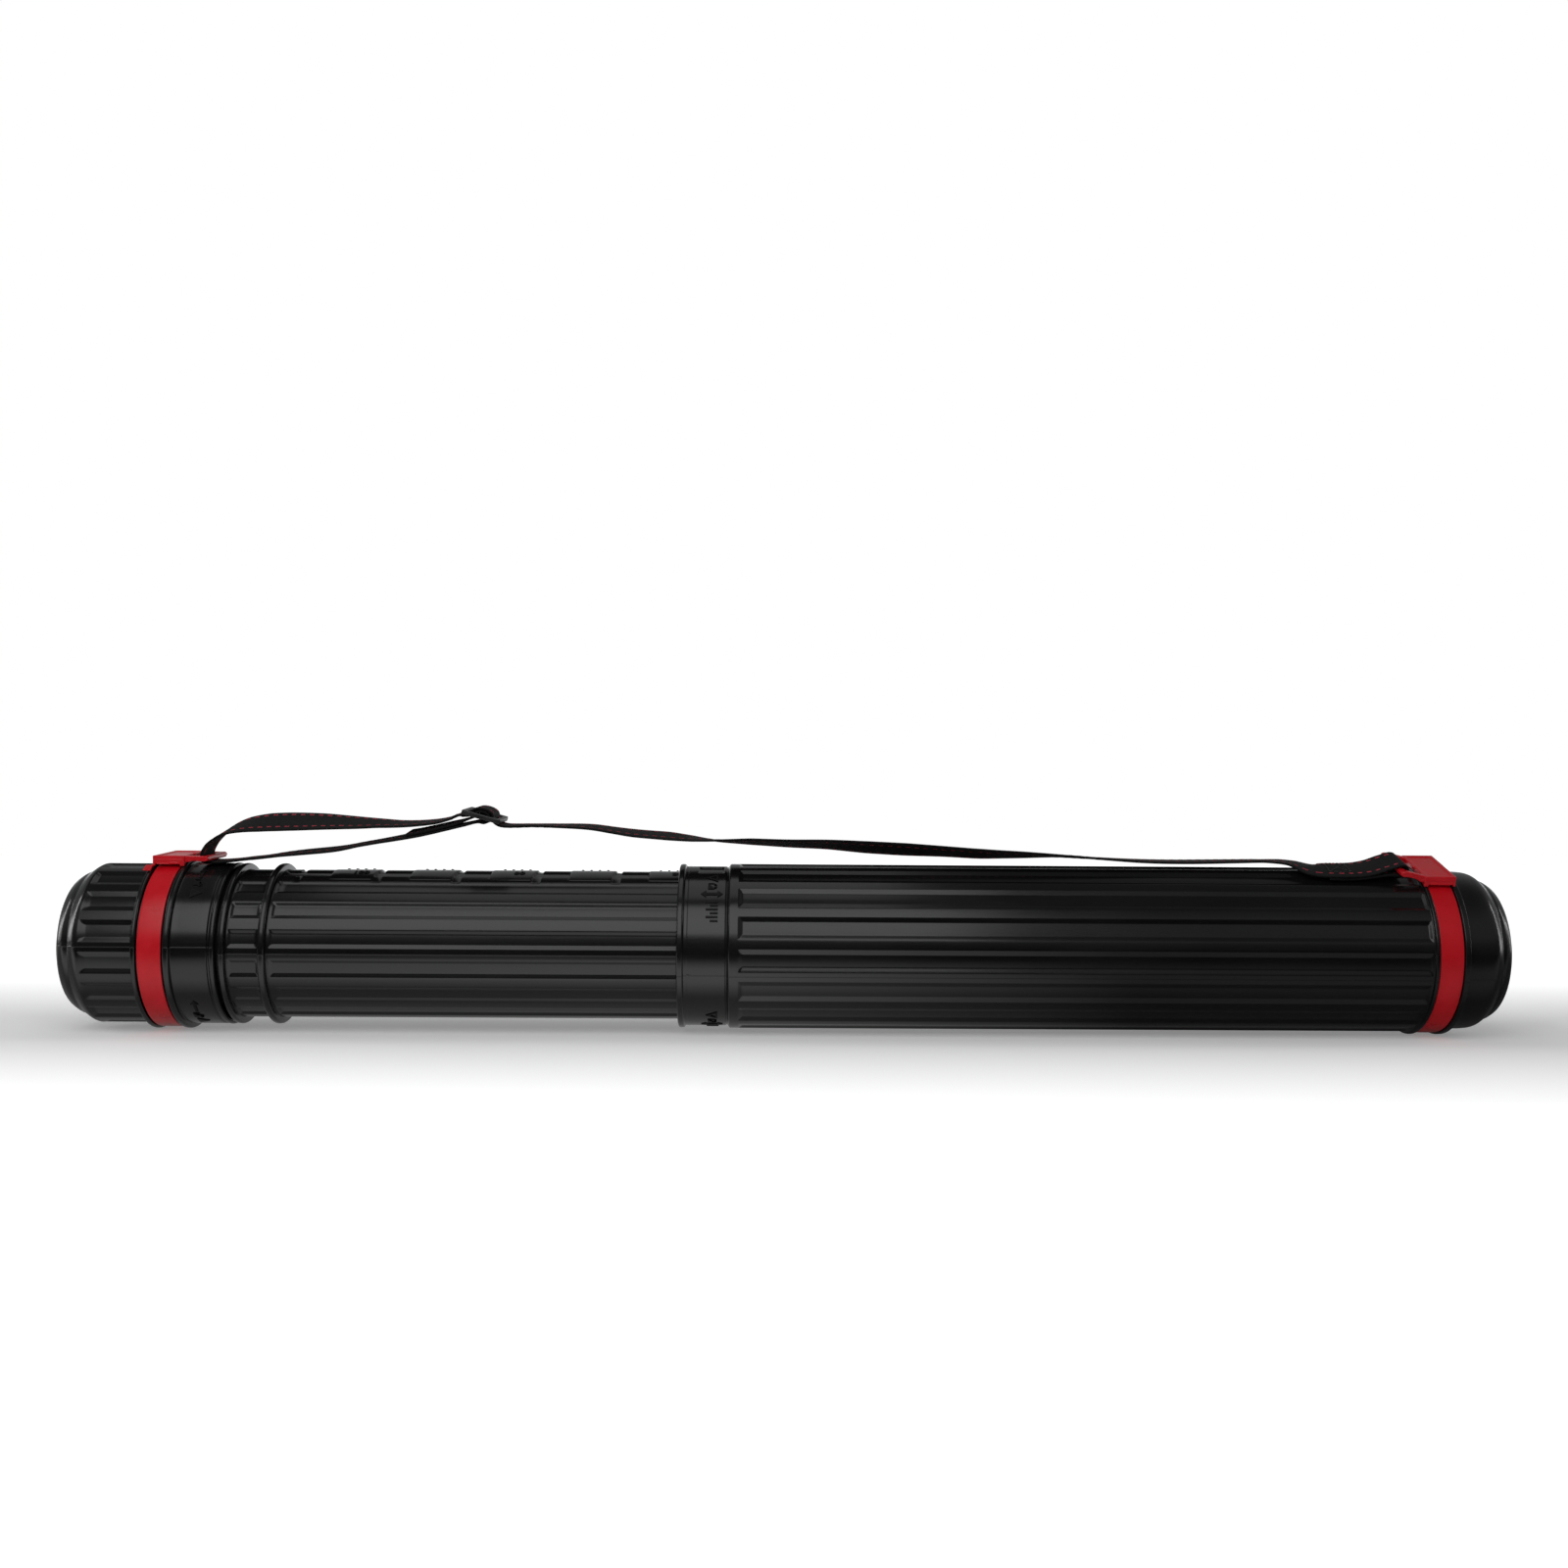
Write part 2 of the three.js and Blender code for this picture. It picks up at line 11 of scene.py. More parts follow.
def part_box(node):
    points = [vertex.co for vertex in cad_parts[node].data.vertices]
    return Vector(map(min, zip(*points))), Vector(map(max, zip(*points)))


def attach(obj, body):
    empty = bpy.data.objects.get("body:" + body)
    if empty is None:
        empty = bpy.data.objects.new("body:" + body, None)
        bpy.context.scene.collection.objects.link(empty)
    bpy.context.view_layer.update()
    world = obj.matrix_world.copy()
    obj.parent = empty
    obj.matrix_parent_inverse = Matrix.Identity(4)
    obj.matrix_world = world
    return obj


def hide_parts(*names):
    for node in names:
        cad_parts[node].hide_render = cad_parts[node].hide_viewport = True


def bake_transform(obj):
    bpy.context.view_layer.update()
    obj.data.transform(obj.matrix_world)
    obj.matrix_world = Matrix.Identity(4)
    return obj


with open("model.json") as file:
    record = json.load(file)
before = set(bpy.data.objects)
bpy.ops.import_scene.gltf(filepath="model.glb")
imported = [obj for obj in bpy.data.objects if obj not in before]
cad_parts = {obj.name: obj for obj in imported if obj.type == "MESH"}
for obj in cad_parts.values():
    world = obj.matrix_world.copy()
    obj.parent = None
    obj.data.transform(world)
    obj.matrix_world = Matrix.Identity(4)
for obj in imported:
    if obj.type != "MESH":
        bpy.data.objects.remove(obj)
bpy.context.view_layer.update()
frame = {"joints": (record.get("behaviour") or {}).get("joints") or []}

# ---------------------------------------------------------------------------
# Driving dimensions in mm and degrees. x is counted from the outer tube's mouth, r from the
# axis, and psi from straight up towards the front.
# ---------------------------------------------------------------------------
BASE_END = 514.6
CAP_END = -387.5
X_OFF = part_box("outer_tube")[1].x * 1000 - BASE_END
AXIS_Z = next(j for j in frame["joints"] if j["name"] == "twist_lock")["pos_m"][2] * 1000

FLUTES = 16
FLUTE_PITCH = 360 / FLUTES
HALF_PITCH = FLUTE_PITCH / 2
# centre of the first flute, and half widths of its floor and of its whole panel, in degrees
OUTER_FLUTES = dict(centre=5.5, floor=4.5, panel=7.8)
INNER_FLUTES = dict(centre=14.6, floor=4.1, panel=6.9)
CAP_FLUTES = dict(centre=9.8, floor=4.6, panel=7.75)
OUTER_DEPTH, INNER_DEPTH, CAP_DEPTH = 1.4, 1.2, 1.3
# radius of the lands between the flutes
OUTER_LAND, INNER_LAND, CAP_LAND = 52.25, 47.0, 50.4
WALL = 1.6
COLLAR_R = 50.65          # band at the outer tube's mouth
CAP_COLLAR_R = 50.9       # band near the cap's mouth
GROOVE_R = 51.0           # floor of the ring grooves
SCALE_R = 47.3            # raised blocks that carry the scale
OUTER_SEAM, INNER_SEAM, CAP_SEAM = 106.75, 93.35, 88.55   # psi of the parting lines

CAP_RING_X, BASE_RING_X = -324.4, 470.5
BASE_TURN = 15.0          # the base ring is turned this much further to the front
STRAP_LEAN = 3.0          # both rings and the strap lean this far to the front
NOTCH_X, NOTCH_PITCH, NOTCH_HALF = 6.4, 50.0, 2.0
ADJ_X, ADJ_Z, ADJ_TILT = -129.7, 82.5, 15.0


def frame_x(x):
    """x in mm to frame metres."""
    return (x + X_OFF) / 1000


def to_frame(x, y, z):
    """Arrays in mm, y and z from the axis, to frame metres."""
    return np.stack([frame_x(x), y / 1000, (z + AXIS_Z) / 1000], -1)


def place(x, r, psi):
    """x and r in mm and psi in radians to frame metres."""
    return to_frame(*np.broadcast_arrays(x, -r * np.sin(psi), r * np.cos(psi)))


MM_TO_FRAME = Matrix.Scale(0.001, 4) @ Matrix.Translation((X_OFF, 0, AXIS_Z))


# ---------------------------------------------------------------------------
# mesh helpers
# ---------------------------------------------------------------------------
@contextmanager
def editing(mesh):
    """Opens a mesh as a bmesh and writes the changes back."""
    bm = bmesh.new()
    bm.from_mesh(mesh)
    yield bm
    bm.to_mesh(mesh)
    bm.free()


def mesh_from(bm, name):
    mesh = bpy.data.meshes.new(name)
    bm.to_mesh(mesh)
    bm.free()
    return mesh


def add_object(name, data):
    obj = bpy.data.objects.new(name, data)
    bpy.context.scene.collection.objects.link(obj)
    return obj


def shade(mesh, smooth=True):
    mesh.polygons.foreach_set("use_smooth", np.full(len(mesh.polygons), smooth))


def mesh_object(name, verts, faces, uvs=None):
    """A smooth shaded object with its faces turned outwards; uvs has one entry per vertex."""
    mesh = bpy.data.meshes.new(name)
    mesh.from_pydata([tuple(v) for v in verts], [], [tuple(f) for f in faces])
    mesh.update()
    if uvs is not None:
        layer = mesh.uv_layers.new(name="UVMap")
        loops = np.zeros(len(mesh.loops), np.int64)
        mesh.loops.foreach_get("vertex_index", loops)
        layer.data.foreach_set("uv", np.asarray(uvs, np.float32)[loops].ravel())
    shade(mesh)
    mesh.validate(clean_customdata=False)
    obj = add_object(name, mesh)
    with editing(mesh) as bm:
        bmesh.ops.recalc_face_normals(bm, faces=bm.faces)
    return obj


def sharpen(obj, angle):
    """Marks edges sharper than angle (degrees), so smooth shading stops there."""
    with editing(obj.data) as bm:
        bm.normal_update()
        for edge in bm.edges:
            if len(edge.link_faces) == 2 and edge.calc_face_angle(0) > radians(angle):
                edge.smooth = False
    return obj


def grid(rings, around, first=0):
    """Point numbers of closed rings, those of each next neighbour, and the quads between."""
    index = first + np.arange(rings * around).reshape(rings, around)
    after = np.roll(index, -1, axis=1)
    quads = np.stack([index[:-1], after[:-1], after[1:], index[1:]], -1).reshape(-1, 4)
    return index, after, quads.tolist()


def tube_faces(rings, around, first=0):
    """Faces of a tube of rings, closed by one face at each end."""
    index, _, faces = grid(rings, around, first)
    return faces + [index[0].tolist(), index[-1][::-1].tolist()]


# ---------------------------------------------------------------------------
# turned and fluted shells
# ---------------------------------------------------------------------------
def softclip(t, corner=0.055):
    """0 below 0, 1 above 1, straight between, with small rounded corners."""
    def softplus(z):
        return np.log1p(np.exp(-np.abs(z))) + np.maximum(z, 0)
    return np.clip(corner * (softplus(t / corner) - softplus((t - 1) / corner)), 0, 1)


def softmin(a, b, blend=0.12):
    h = np.clip(0.5 + 0.5 * (b - a) / blend, 0, 1)
    return b * (1 - h) + a * h - blend * h * (1 - h)


def window(value, low, high, ramp):
    """1 between low and high, 0 outside, with ramps inside both limits."""
    return softclip(np.minimum((value - low) / ramp, (high - value) / ramp), 0.08)


def flat(r, *xs):
    """Profile stations at one radius, without corner cuts."""
    return [(x, r, 0) for x in xs]


def rounded(points, per=5):
    """Polyline of (x, r, cut): each corner with a cut is replaced by a short curve."""
    out = []
    for i, (x, r, cut) in enumerate(points):
        if cut <= 0 or i in (0, len(points) - 1):
            out.append((x, r))
            continue
        corner = np.array([x, r], float)
        before = np.array(points[i - 1][:2], float)
        after = np.array(points[i + 1][:2], float)
        len_in, len_out = np.linalg.norm(before - corner), np.linalg.norm(after - corner)
        cut_in, cut_out = min(cut, len_in * 0.48), min(cut, len_out * 0.48)
        start = corner + (before - corner) / len_in * cut_in
        end = corner + (after - corner) / len_out * cut_out
        for k in range(per + 1):
            t = k / per
            out.append(tuple((1 - t) ** 2 * start + 2 * t * (1 - t) * corner + t * t * end))
    return out


def fill(points, longest):
    """Splits segments longer than `longest`."""
    out = [points[0]]
    for a, b in zip(points[:-1], points[1:]):
        n = max(1, ceil(hypot(b[0] - a[0], b[1] - a[1]) / longest))
        for k in range(1, n + 1):
            out.append((a[0] + (b[0] - a[0]) * k / n, a[1] + (b[1] - a[1]) * k / n))
    return out


def flute_angles(centre, floor, panel, extra=()):
    """Angles in degrees round a body, closest where a flute's sides bend."""
    steps = [floor * 0.5, floor * 0.8, floor - 0.28, floor - 0.06, floor + 0.16, floor + 0.5,
             (floor + panel) / 2, panel - 0.5, panel - 0.16, panel + 0.06, panel + 0.28,
             (panel + HALF_PITCH) / 2, 10.85, 11.04]
    offsets = [0, HALF_PITCH] + steps + [-s for s in steps]
    angles = [centre + FLUTE_PITCH * k + d for k in range(FLUTES) for d in offsets]
    angles = sorted({round(a % 360, 4) for a in angles + list(extra)})
    keep = [angles[0]]
    for angle in angles[1:]:
        if angle - keep[-1] > 0.07:
            keep.append(angle)
    return np.array(keep)


def flute_cut(deg, ramp, centre, floor, panel):
    """0 on the lands to 1 on the flute floors; ramp ends the flutes lengthwise."""
    off = np.abs((deg - centre + HALF_PITCH) % FLUTE_PITCH - HALF_PITCH)
    return softclip(softmin((panel - off) / (panel - floor), ramp))


def seam(deg, at, height=0.13, half=0.24):
    """The mould's parting line: a fine raised ridge at psi `at` and opposite it."""
    off = np.abs((deg - at + 90) % 180 - 90)
    return height * np.clip(1 - off / half, 0, 1)


def shell(name, outside, inside, deg, radius, poles=None, longest=6.0):
    """A turned body. The profile runs along the outside, then along the inside, as (x, r, cut).
    radius(x, r, deg, side) bends each ring; side is 0 outside and 1 inside.
    poles: x where the profile starts and ends on the axis; without them it closes on itself."""
    outside = fill(rounded(outside), longest)
    inside = fill(rounded(inside), 30.0)
    stations = np.array([(*p, 0) for p in outside] + [(*p, 1) for p in inside])
    x, r, side = stations.T[..., None]
    deg = deg[None, :]
    points = place(x, radius(x, r, deg, side), np.radians(deg))
    rings, around = points.shape[:2]
    verts = points.reshape(-1, 3)
    index, after, faces = grid(rings, around)
    if poles:
        for pole, a, b in ((poles[0], after[0], index[0]), (poles[1], index[-1], after[-1])):
            verts = np.vstack([verts, place(np.array([pole]), 0.0, 0.0)])
            centre = len(verts) - 1
            faces += [(centre, int(a[j]), int(b[j])) for j in range(around)]
    else:
        faces += np.stack([index[-1], after[-1], after[0], index[0]], -1).tolist()
    return mesh_object(name, verts, faces)


def outer_tube():
    land, bore = OUTER_LAND, OUTER_LAND - WALL
    outside = [   # x, r, corner cut; from the base's middle to the mouth
        (BASE_END, 2, 0), (BASE_END, 36.2, 3.0), (511.9, 42.0, 2.2), (507.2, 44.9, 1.2),
        (505.3, 45.15, 0.5), (504.5, 45.9, 0.5), (499.9, 49.6, 3.4), (493, 50.35, 3),
        (482.6, 50.35, 0.7), (481.8, 53.0, 0.5), (481.6, 53.9, 0.7), (478.4, 54.0, 0.7),
        (478.15, 53.2, 0.3), (478.15, GROOVE_R, 0.4), (462.85, GROOVE_R, 0.4),
        (462.85, 53.2, 0.3), (462.5, 53.95, 0.6), (460.6, 53.95, 0.6), (460.25, 52.6, 0.4),
        (459.95, land, 0.3),
        *flat(land, 459.5, 459.2, 458.8, 458.3, 457.9, 457.6, 457.3, 456.6, 456.0, 455.7, 455.3,
              454, 37.0, 35.9, 35.5, 35.2, 34.8, 34.2, 33.6, 33.2, 32.9, 32.5),
        (27.3, land, 0.8), (26.5, 50.9, 0.4), (25.7, 49.95, 0.7), (24.9, 50.6, 0.3),
        *flat(COLLAR_R, 24.4, 23.7, 23.3, 22.9, 22.3, 21.6, 15.5, 9.4, 8.7, 8.1, 7.7, 7.3, 6.6),
        (1.9, COLLAR_R, 0.2), (1.6, 50.8, 0.2), (1.3, COLLAR_R, 0.2), (-0.6, COLLAR_R, 0.4),
        (-1.0, 51.5, 0.4), (-1.6, 52.05, 0.8), (-4.2, 52.05, 0.9), (-4.9, 51.2, 0.5),
        (-4.9, 49.6, 0.4),
    ]
    inside = [    # back from the mouth to the base
        (-4.5, 49.1, 0.3), (8, 49.1, 0), (23, 49.1, 0), (24.3, 49.1, 0.8), (25.8, 48.2, 0.8),
        (27.5, 50.3, 0.8),
        *flat(bore, 32, 32.9, 34.2, 35.5, 38, 454, 455.7, 457.5, 459.4),
        (461, bore, 0.8), (462.8, 49.4, 0.8), (480, 49.4, 0.8), (494, 48.7, 2), (499.2, 47.6, 2),
        (503.2, 44.4, 0.8), (509.6, 41.6, 2), (513.0, 35.4, 2), (513.0, 2, 0),
    ]
    recess_edges = [6.4, 6.7, 7.0, 7.3, 7.7, 8.2, 19.8, 20.3, 20.7, 21.0, 21.3, 21.6]

    def radius(x, r, deg, side):
        ramp = np.minimum((x - 32.9) / 2.6, (459.4 - x) / 1.9)
        depth = OUTER_DEPTH * flute_cut(deg, ramp, **OUTER_FLUTES)
        # a shallow sunk panel in the collar, near the top
        recess = window(x, 7.4, 23.6, 0.9) * window(deg, 6.4, 21.6, 0.9) * 1.15
        seamed = (side == 0) & (x > -4.4) & (x < 512)
        return (r - depth - np.where(side == 0, recess, recess * 0.9)
                + np.where(seamed, seam(deg, OUTER_SEAM), 0))

    return shell("outer_tube_shell", outside, inside,
                 flute_angles(**OUTER_FLUTES, extra=recess_edges), radius, (BASE_END, 513.0))


def inner_tube():
    land, bore = INNER_LAND, INNER_LAND - WALL
    # stations near each notch and its raised block, and at the ends of the flutes
    block_steps = (-31.6, -31.0, -30.6, -30.2, -29.6, -7.0, -6.0, -5.2, -4.4, -3.6, -2.9, -2.4,
                   -2.0, -1.5, 1.5, 2.0, 2.4, 2.9, 3.6)
    notches = [NOTCH_X + m * NOTCH_PITCH for m in range(-5, 4)]
    body_x = {round(xn + d, 3) for xn in notches for d in block_steps
              if -249.5 < xn + d < 184.5}
    body_x |= {-254.7, -254.2, -253.8, -253.3, -252.6, -251.9, -251.3,
               185.2, 185.8, 186.6, 187.3, 187.8}
    outside = [   # x, r, corner cut; from the cap's end to the end inside the outer tube
        (-334, 46.2, 0.3), (-333.4, land, 0.6), (-305.4, land, 0.2), (-283.6, land, 0.4),
        (-283.3, 50.0, 0.5), (-282.7, 50.95, 0.7), (-280.5, 50.95, 0.7), (-279.9, 50.1, 0.5),
        (-279.7, land, 0.3),
        *flat(land, -279.1, -278.7, -278.1, -277.5, -277.0, -276.4, -262.9, -262.4, -261.8,
              -261.2, -260.7, -260.3),
        (-260.0, land, 0.2), (-259.8, 49.9, 0.5), (-258.9, 50.95, 0.9), (-256.5, 50.95, 0.9),
        (-255.6, 49.9, 0.5), (-255.3, land, 0.3),
        *flat(land, *sorted(body_x)),
        (188.4, 48.0, 0.4), (189.2, 48.3, 0.4), (194.6, 48.3, 0.5), (195, 47.7, 0.3),
    ]
    inside = [
        (195, 46.2, 0.3), (194.4, 45.9, 0.4), (188.6, bore, 0.5),
        *flat(bore, 187.6, 186.6, 185.6, -251.7, -252.8, -253.9),
        (-255.6, bore, 0.6), (-256.2, 48.9, 0.8), (-259.2, 48.9, 0.8), (-260, bore, 0.6),
        *flat(bore, -260.6, -261.6, -262.4, -277.0, -277.9, -278.8),
        (-280, bore, 0.6), (-280.6, 49.0, 0.6), (-282.6, 49.0, 0.6), (-283.4, bore, 0.6),
        (-333.6, bore, 0.3),
    ]
    block_edges = [-17.6, -17.0, -16.4, -15.9, 26.2, 26.7, 27.2, 27.8, 39.2, 39.8, 40.4,
                   10, 12.2, 16.5, 19.5, 22.5, 24.5]

    def radius(x, r, deg, side):
        psi = (deg + 180) % 360 - 180
        body_ramp = np.minimum((x + 253.9) / 2.2, (187.6 - x) / 2.0)
        neck_ramp = np.minimum((x + 278.8) / 1.8, (-260.6 - x) / 1.8)
        cut = flute_cut(deg, np.maximum(body_ramp, neck_ramp), **INNER_FLUTES)
        fluted = r - INNER_DEPTH * cut
        half = NOTCH_PITCH / 2
        nearest = (x - NOTCH_X + half) % NOTCH_PITCH - half      # from the nearest notch
        to_next = (x - NOTCH_X - 1e-6) % NOTCH_PITCH - NOTCH_PITCH   # from the next at +x
        flare = np.clip((psi - 8) / 18, 0, 1) * 1.6   # the notch opens out towards the front
        in_scale = (x > -246) & (x < 184)
        block = softclip(np.minimum((to_next + 31.0) / 0.9,
                                    (-NOTCH_HALF - flare - to_next) / 0.6), 0.08)
        block = block * window(psi, -16.6, 27.3, 0.8) * in_scale
        notch = softclip(np.minimum((nearest + NOTCH_HALF + flare) / 0.5,
                                    (NOTCH_HALF - nearest) / 0.5), 0.08)
        notch = notch * window(psi, -17.8, 30.4, 0.7) * in_scale
        raised = fluted * (1 - block) + SCALE_R * block
        notched = raised * (1 - notch) + np.minimum(raised, 45.95) * notch
        # beads and rims, off the land radius, keep their own radius outside
        bent = np.where((side == 0) & (r == land), notched, np.where(side == 0, r, fluted))
        seamed = (side == 0) & (x > -333) & (x < 190)
        return bent + np.where(seamed, seam(deg, INNER_SEAM, 0.11), 0)

    return shell("inner_tube_shell", outside, inside,
                 flute_angles(**INNER_FLUTES, extra=block_edges), radius)


def end_cap():
    land, bore = CAP_LAND, 48.8
    outside = [   # x, r, corner cut; from the closed end's middle to the mouth
        (CAP_END, 2, 0), (CAP_END, 34.8, 3.2), (-384.9, 41.4, 2.4), (-379.6, 45.0, 1.6),
        (-376.2, 46.0, 0.5), (-375.4, 46.9, 0.5), (-371.6, 49.6, 1.6), (-369.6, land, 0.6),
        *flat(land, -368.9, -368.5, -368.1, -367.5, -366.6, -365.7, -365.2, -364.8, -364.2,
              -338.2, -337.4, -337.0, -336.7, -336.4, -336.2),
        (-336.0, land, 0.1), (-335.5, 53.0, 0.5), (-335.0, 53.95, 0.6), (-333.3, 53.95, 0.6),
        (-332.65, 53.1, 0.3), (-332.65, GROOVE_R, 0.4), (-316.05, GROOVE_R, 0.4),
        (-316.05, 53.1, 0.3), (-315.5, 53.95, 0.7), (-313.0, 53.95, 0.7), (-312.3, 52.9, 0.5),
        (-312.1, CAP_COLLAR_R, 0.5), (-290.5, CAP_COLLAR_R, 0.3), (-289.8, 49.95, 0.4),
        (-289.0, 49.95, 0.4), (-288.6, 50.8, 0.3), (-288.0, 51.2, 0.5), (-286.6, 51.2, 0.5),
        (-286.0, 50.6, 0.3),
    ]
    inside = [
        (-286.0, 49.3, 0.3), (-286.5, 48.95, 0.3), (-292.4, 48.95, 0.3), (-293.4, 49.3, 0.4),
        (-333.4, 49.3, 0.5), (-335.4, bore, 0.3),
        *flat(bore, -336.2, -337.0, -338, -364.4, -365.4, -367, -368.4),
        (-370.6, 48.0, 0.8), (-374.6, 45.3, 0.8), (-379.4, 43.4, 1.4), (-383.6, 40.2, 2),
        (-385.9, 34.0, 2), (-385.9, 2, 0),
    ]

    def radius(x, r, deg, side):
        ramp = np.minimum((x + 368.4) / 3.3, (-336.2 - x) / 0.5)
        seamed = (side == 0) & (x > -386) & (x < -286.5)
        return (r - CAP_DEPTH * flute_cut(deg, ramp, **CAP_FLUTES)
                + np.where(seamed, seam(deg, CAP_SEAM), 0))

    return shell("end_cap_shell", outside, inside, flute_angles(**CAP_FLUTES), radius,
                 (CAP_END, -385.9), longest=5.0)


outer = outer_tube()
inner = inner_tube()
cap = end_cap()


# ---------------------------------------------------------------------------
# buckles and adjuster: overlapping lumps joined into one smooth skin
# ---------------------------------------------------------------------------
def prism(bm, outline, axis, start, end, bevel=0.0):
    """Adds a block with a polygon outline, in (y, z) for axis x, (x, z) for y, (x, y) for z."""
    def at(p, q, d):
        return {"x": (d, p, q), "y": (p, d, q), "z": (p, q, d)}[axis]
    part = bmesh.new()
    low = [part.verts.new(at(p, q, start)) for p, q in outline]
    high = [part.verts.new(at(p, q, end)) for p, q in outline]
    part.faces.new(low)
    part.faces.new(list(reversed(high)))
    for i in range(len(outline)):
        j = (i + 1) % len(outline)
        part.faces.new((low[i], high[i], high[j], low[j]))
    bmesh.ops.recalc_face_normals(part, faces=part.faces)
    if bevel > 0:
        edges = [e for e in part.edges if e.calc_face_angle(0) > radians(25)]
        bmesh.ops.bevel(part, geom=edges, offset=bevel, segments=3, profile=0.5,
                        affect="EDGES", clamp_overlap=True)
    mesh = mesh_from(part, "tmp")
    bm.from_mesh(mesh)
    bpy.data.meshes.remove(mesh)


def box(bm, xs, ys, zs, bevel):
    (x0, x1), (y0, y1) = xs, ys
    prism(bm, [(x0, y0), (x1, y0), (x1, y1), (x0, y1)], "z", *zs, bevel)


def arc(r, y0, y1, n):
    """Points (y, z) on the upper side of a circle round the axis, evenly spaced in y."""
    ys = [y0 + (y1 - y0) * i / n for i in range(n + 1)]
    return [(y, sqrt(r * r - y ** 2)) for y in ys]


def sector(r0, r1, psi0, psi1, n):
    """Outline (y, z) of a piece of ring between two radii and two psi."""
    def side(r, a, b):
        turns = [radians(a + (b - a) * i / n) for i in range(n + 1)]
        return [(-r * sin(t), r * cos(t)) for t in turns]
    return side(r1, psi0, psi1) + side(r0, psi1, psi0)


def moulded(name, build, matrix, voxel, smooth):
    """build(bm) adds closed lumps in mm; they are joined into one skin and smoothed."""
    bm = bmesh.new()
    build(bm)
    lumps = mesh_from(bm, name)
    obj = add_object(name, lumps)
    bpy.context.view_layer.objects.active = obj
    join = obj.modifiers.new("join", "REMESH")
    join.mode = "VOXEL"
    join.voxel_size = voxel
    join.adaptivity = 0
    soften = obj.modifiers.new("soften", "SMOOTH")
    soften.factor = 0.5
    soften.iterations = smooth
    depsgraph = bpy.context.evaluated_depsgraph_get()
    skin = bpy.data.meshes.new_from_object(obj.evaluated_get(depsgraph))
    obj.modifiers.clear()
    obj.data = skin
    bpy.data.meshes.remove(lumps)
    skin.transform(matrix)
    shade(skin)
    skin.update()
    return obj


def buckle_lumps(bm, rise, ear):
    """A buckle over its ring, x towards the tube's middle. rise lifts the bar's end."""
    length, width = (-9.2, 10.5), (-20, 20)
    # top plate with its raised frame
    box(bm, length, width, (54.0, 56.6), 0.3)
    for xs in ((-9.2, -7.0), (8.1, 10.5)):
        box(bm, xs, width, (55.4, 57.2), 0.35)
    for ys in ((-20, -17.6), (17.6, 20)):
        box(bm, length, ys, (55.4, 57.2), 0.35)
    # cheeks standing on the beads
    for xs in ((-9.2, -7.7), (7.7, 10.5)):
        prism(bm, arc(54.42, -20, 20, 24) + [(20, 55.8), (-20, 55.8)], "x", *xs)
    # a fine rib along each end's lip
    for ys in ((-20.22, -19.6), (19.6, 20.22)):
        box(bm, (-8.4, 9.7), ys, (54.3, 54.9), 0.2)
    # end walls down to the lip, then a ledge and a low rib on each
    for ys in ((-20.0, -17.8), (17.8, 20.0)):
        box(bm, (-8.6, 9.2), ys, (51.9, 55.4), 0.25)
    for y0, y1 in ((-20.5, -19.2), (19.2, 20.5)):
        box(bm, (1.4, 6.2), (y0, y1), (52.0, 53.1), 0.35)
        box(bm, (-6.6, 6.6), (y0 * 0.99, y1 * 0.99), (51.75, 52.15), 0.15)
    # boss over the strip's hooked ends
    for y0, y1 in ((-9, -8.2), (-5.3, 5.3), (8.2, 9)):
        prism(bm, arc(53.3, y0, y1, 8) + [(y1, 55.6), (y0, 55.6)], "x", -7.5, 7.5)
    for xs in ((-7.5, -5.3), (5.3, 7.5)):
        prism(bm, arc(53.3, -9, 9, 12) + [(9, 55.6), (-9, 55.6)], "x", *xs)
    # arms with their gussets, and the rounded bar
    arm = [(9.4, 52.95), (12.2, 53.0), (15.4, 53.75 + rise * 0.45), (20.4, 53.4 + rise),
           (23.4, 53.4 + rise), (24.8, 54.6 + rise), (24.8, 55.9 + rise), (23.6, 56.8 + rise),
           (20.4, 56.8 + rise), (15.4, 56.9 + rise * 0.5), (9.4, 57.0)]
    for ys in ((-18.7, -14.5), (14.5, 18.7)):
        prism(bm, arm, "y", *ys, 0.45)
    box(bm, (20.5, 24.8), (-18, 18), (53.4 + rise, 56.8 + rise), 1.1)
    # little stop on the slot's edge
    box(bm, (9.6, 11.7), (-2.2, 2.2), (55.8, 57.5), 0.6)
    if ear:
        prism(bm, sector(54.45, 55.5, 21.6, 28.2, 8), "x", -13.2, -8.4)


def buckle(name, ring_x, turn, direction, rise, ear):
    """direction is 1 where the tube's middle lies towards +x, else -1."""
    matrix = (MM_TO_FRAME @ Matrix.Rotation(radians(turn + STRAP_LEAN), 4, "X")
              @ Matrix(((direction, 0, 0, ring_x), (0, direction, 0, 0),
                        (0, 0, 1, 0), (0, 0, 0, 1))))
    return moulded(name, lambda bm: buckle_lumps(bm, rise, ear), matrix, voxel=0.3, smooth=4)


def adjuster_lumps(bm):
    """A flat frame with a toothed middle bar, about its own centre."""
    for ys in ((-16.9, -13.0), (13.0, 16.9)):
        box(bm, (-12.4, 12.4), ys, (-1.55, 1.55), 0.6)
    for xs in ((-12.6, -9.8), (9.8, 12.6)):
        box(bm, xs, (-15.6, 15.6), (-1.5, 1.5), 0.7)
    box(bm, (-2.2, 2.2), (-14, 14), (-1.2, 1.2), 0.9)
    for k in range(9):
        y = -11.2 + 2.8 * k
        box(bm, (-1.9, 1.9), (y - 0.55, y + 0.55), (-1.45, 1.45), 0.3)


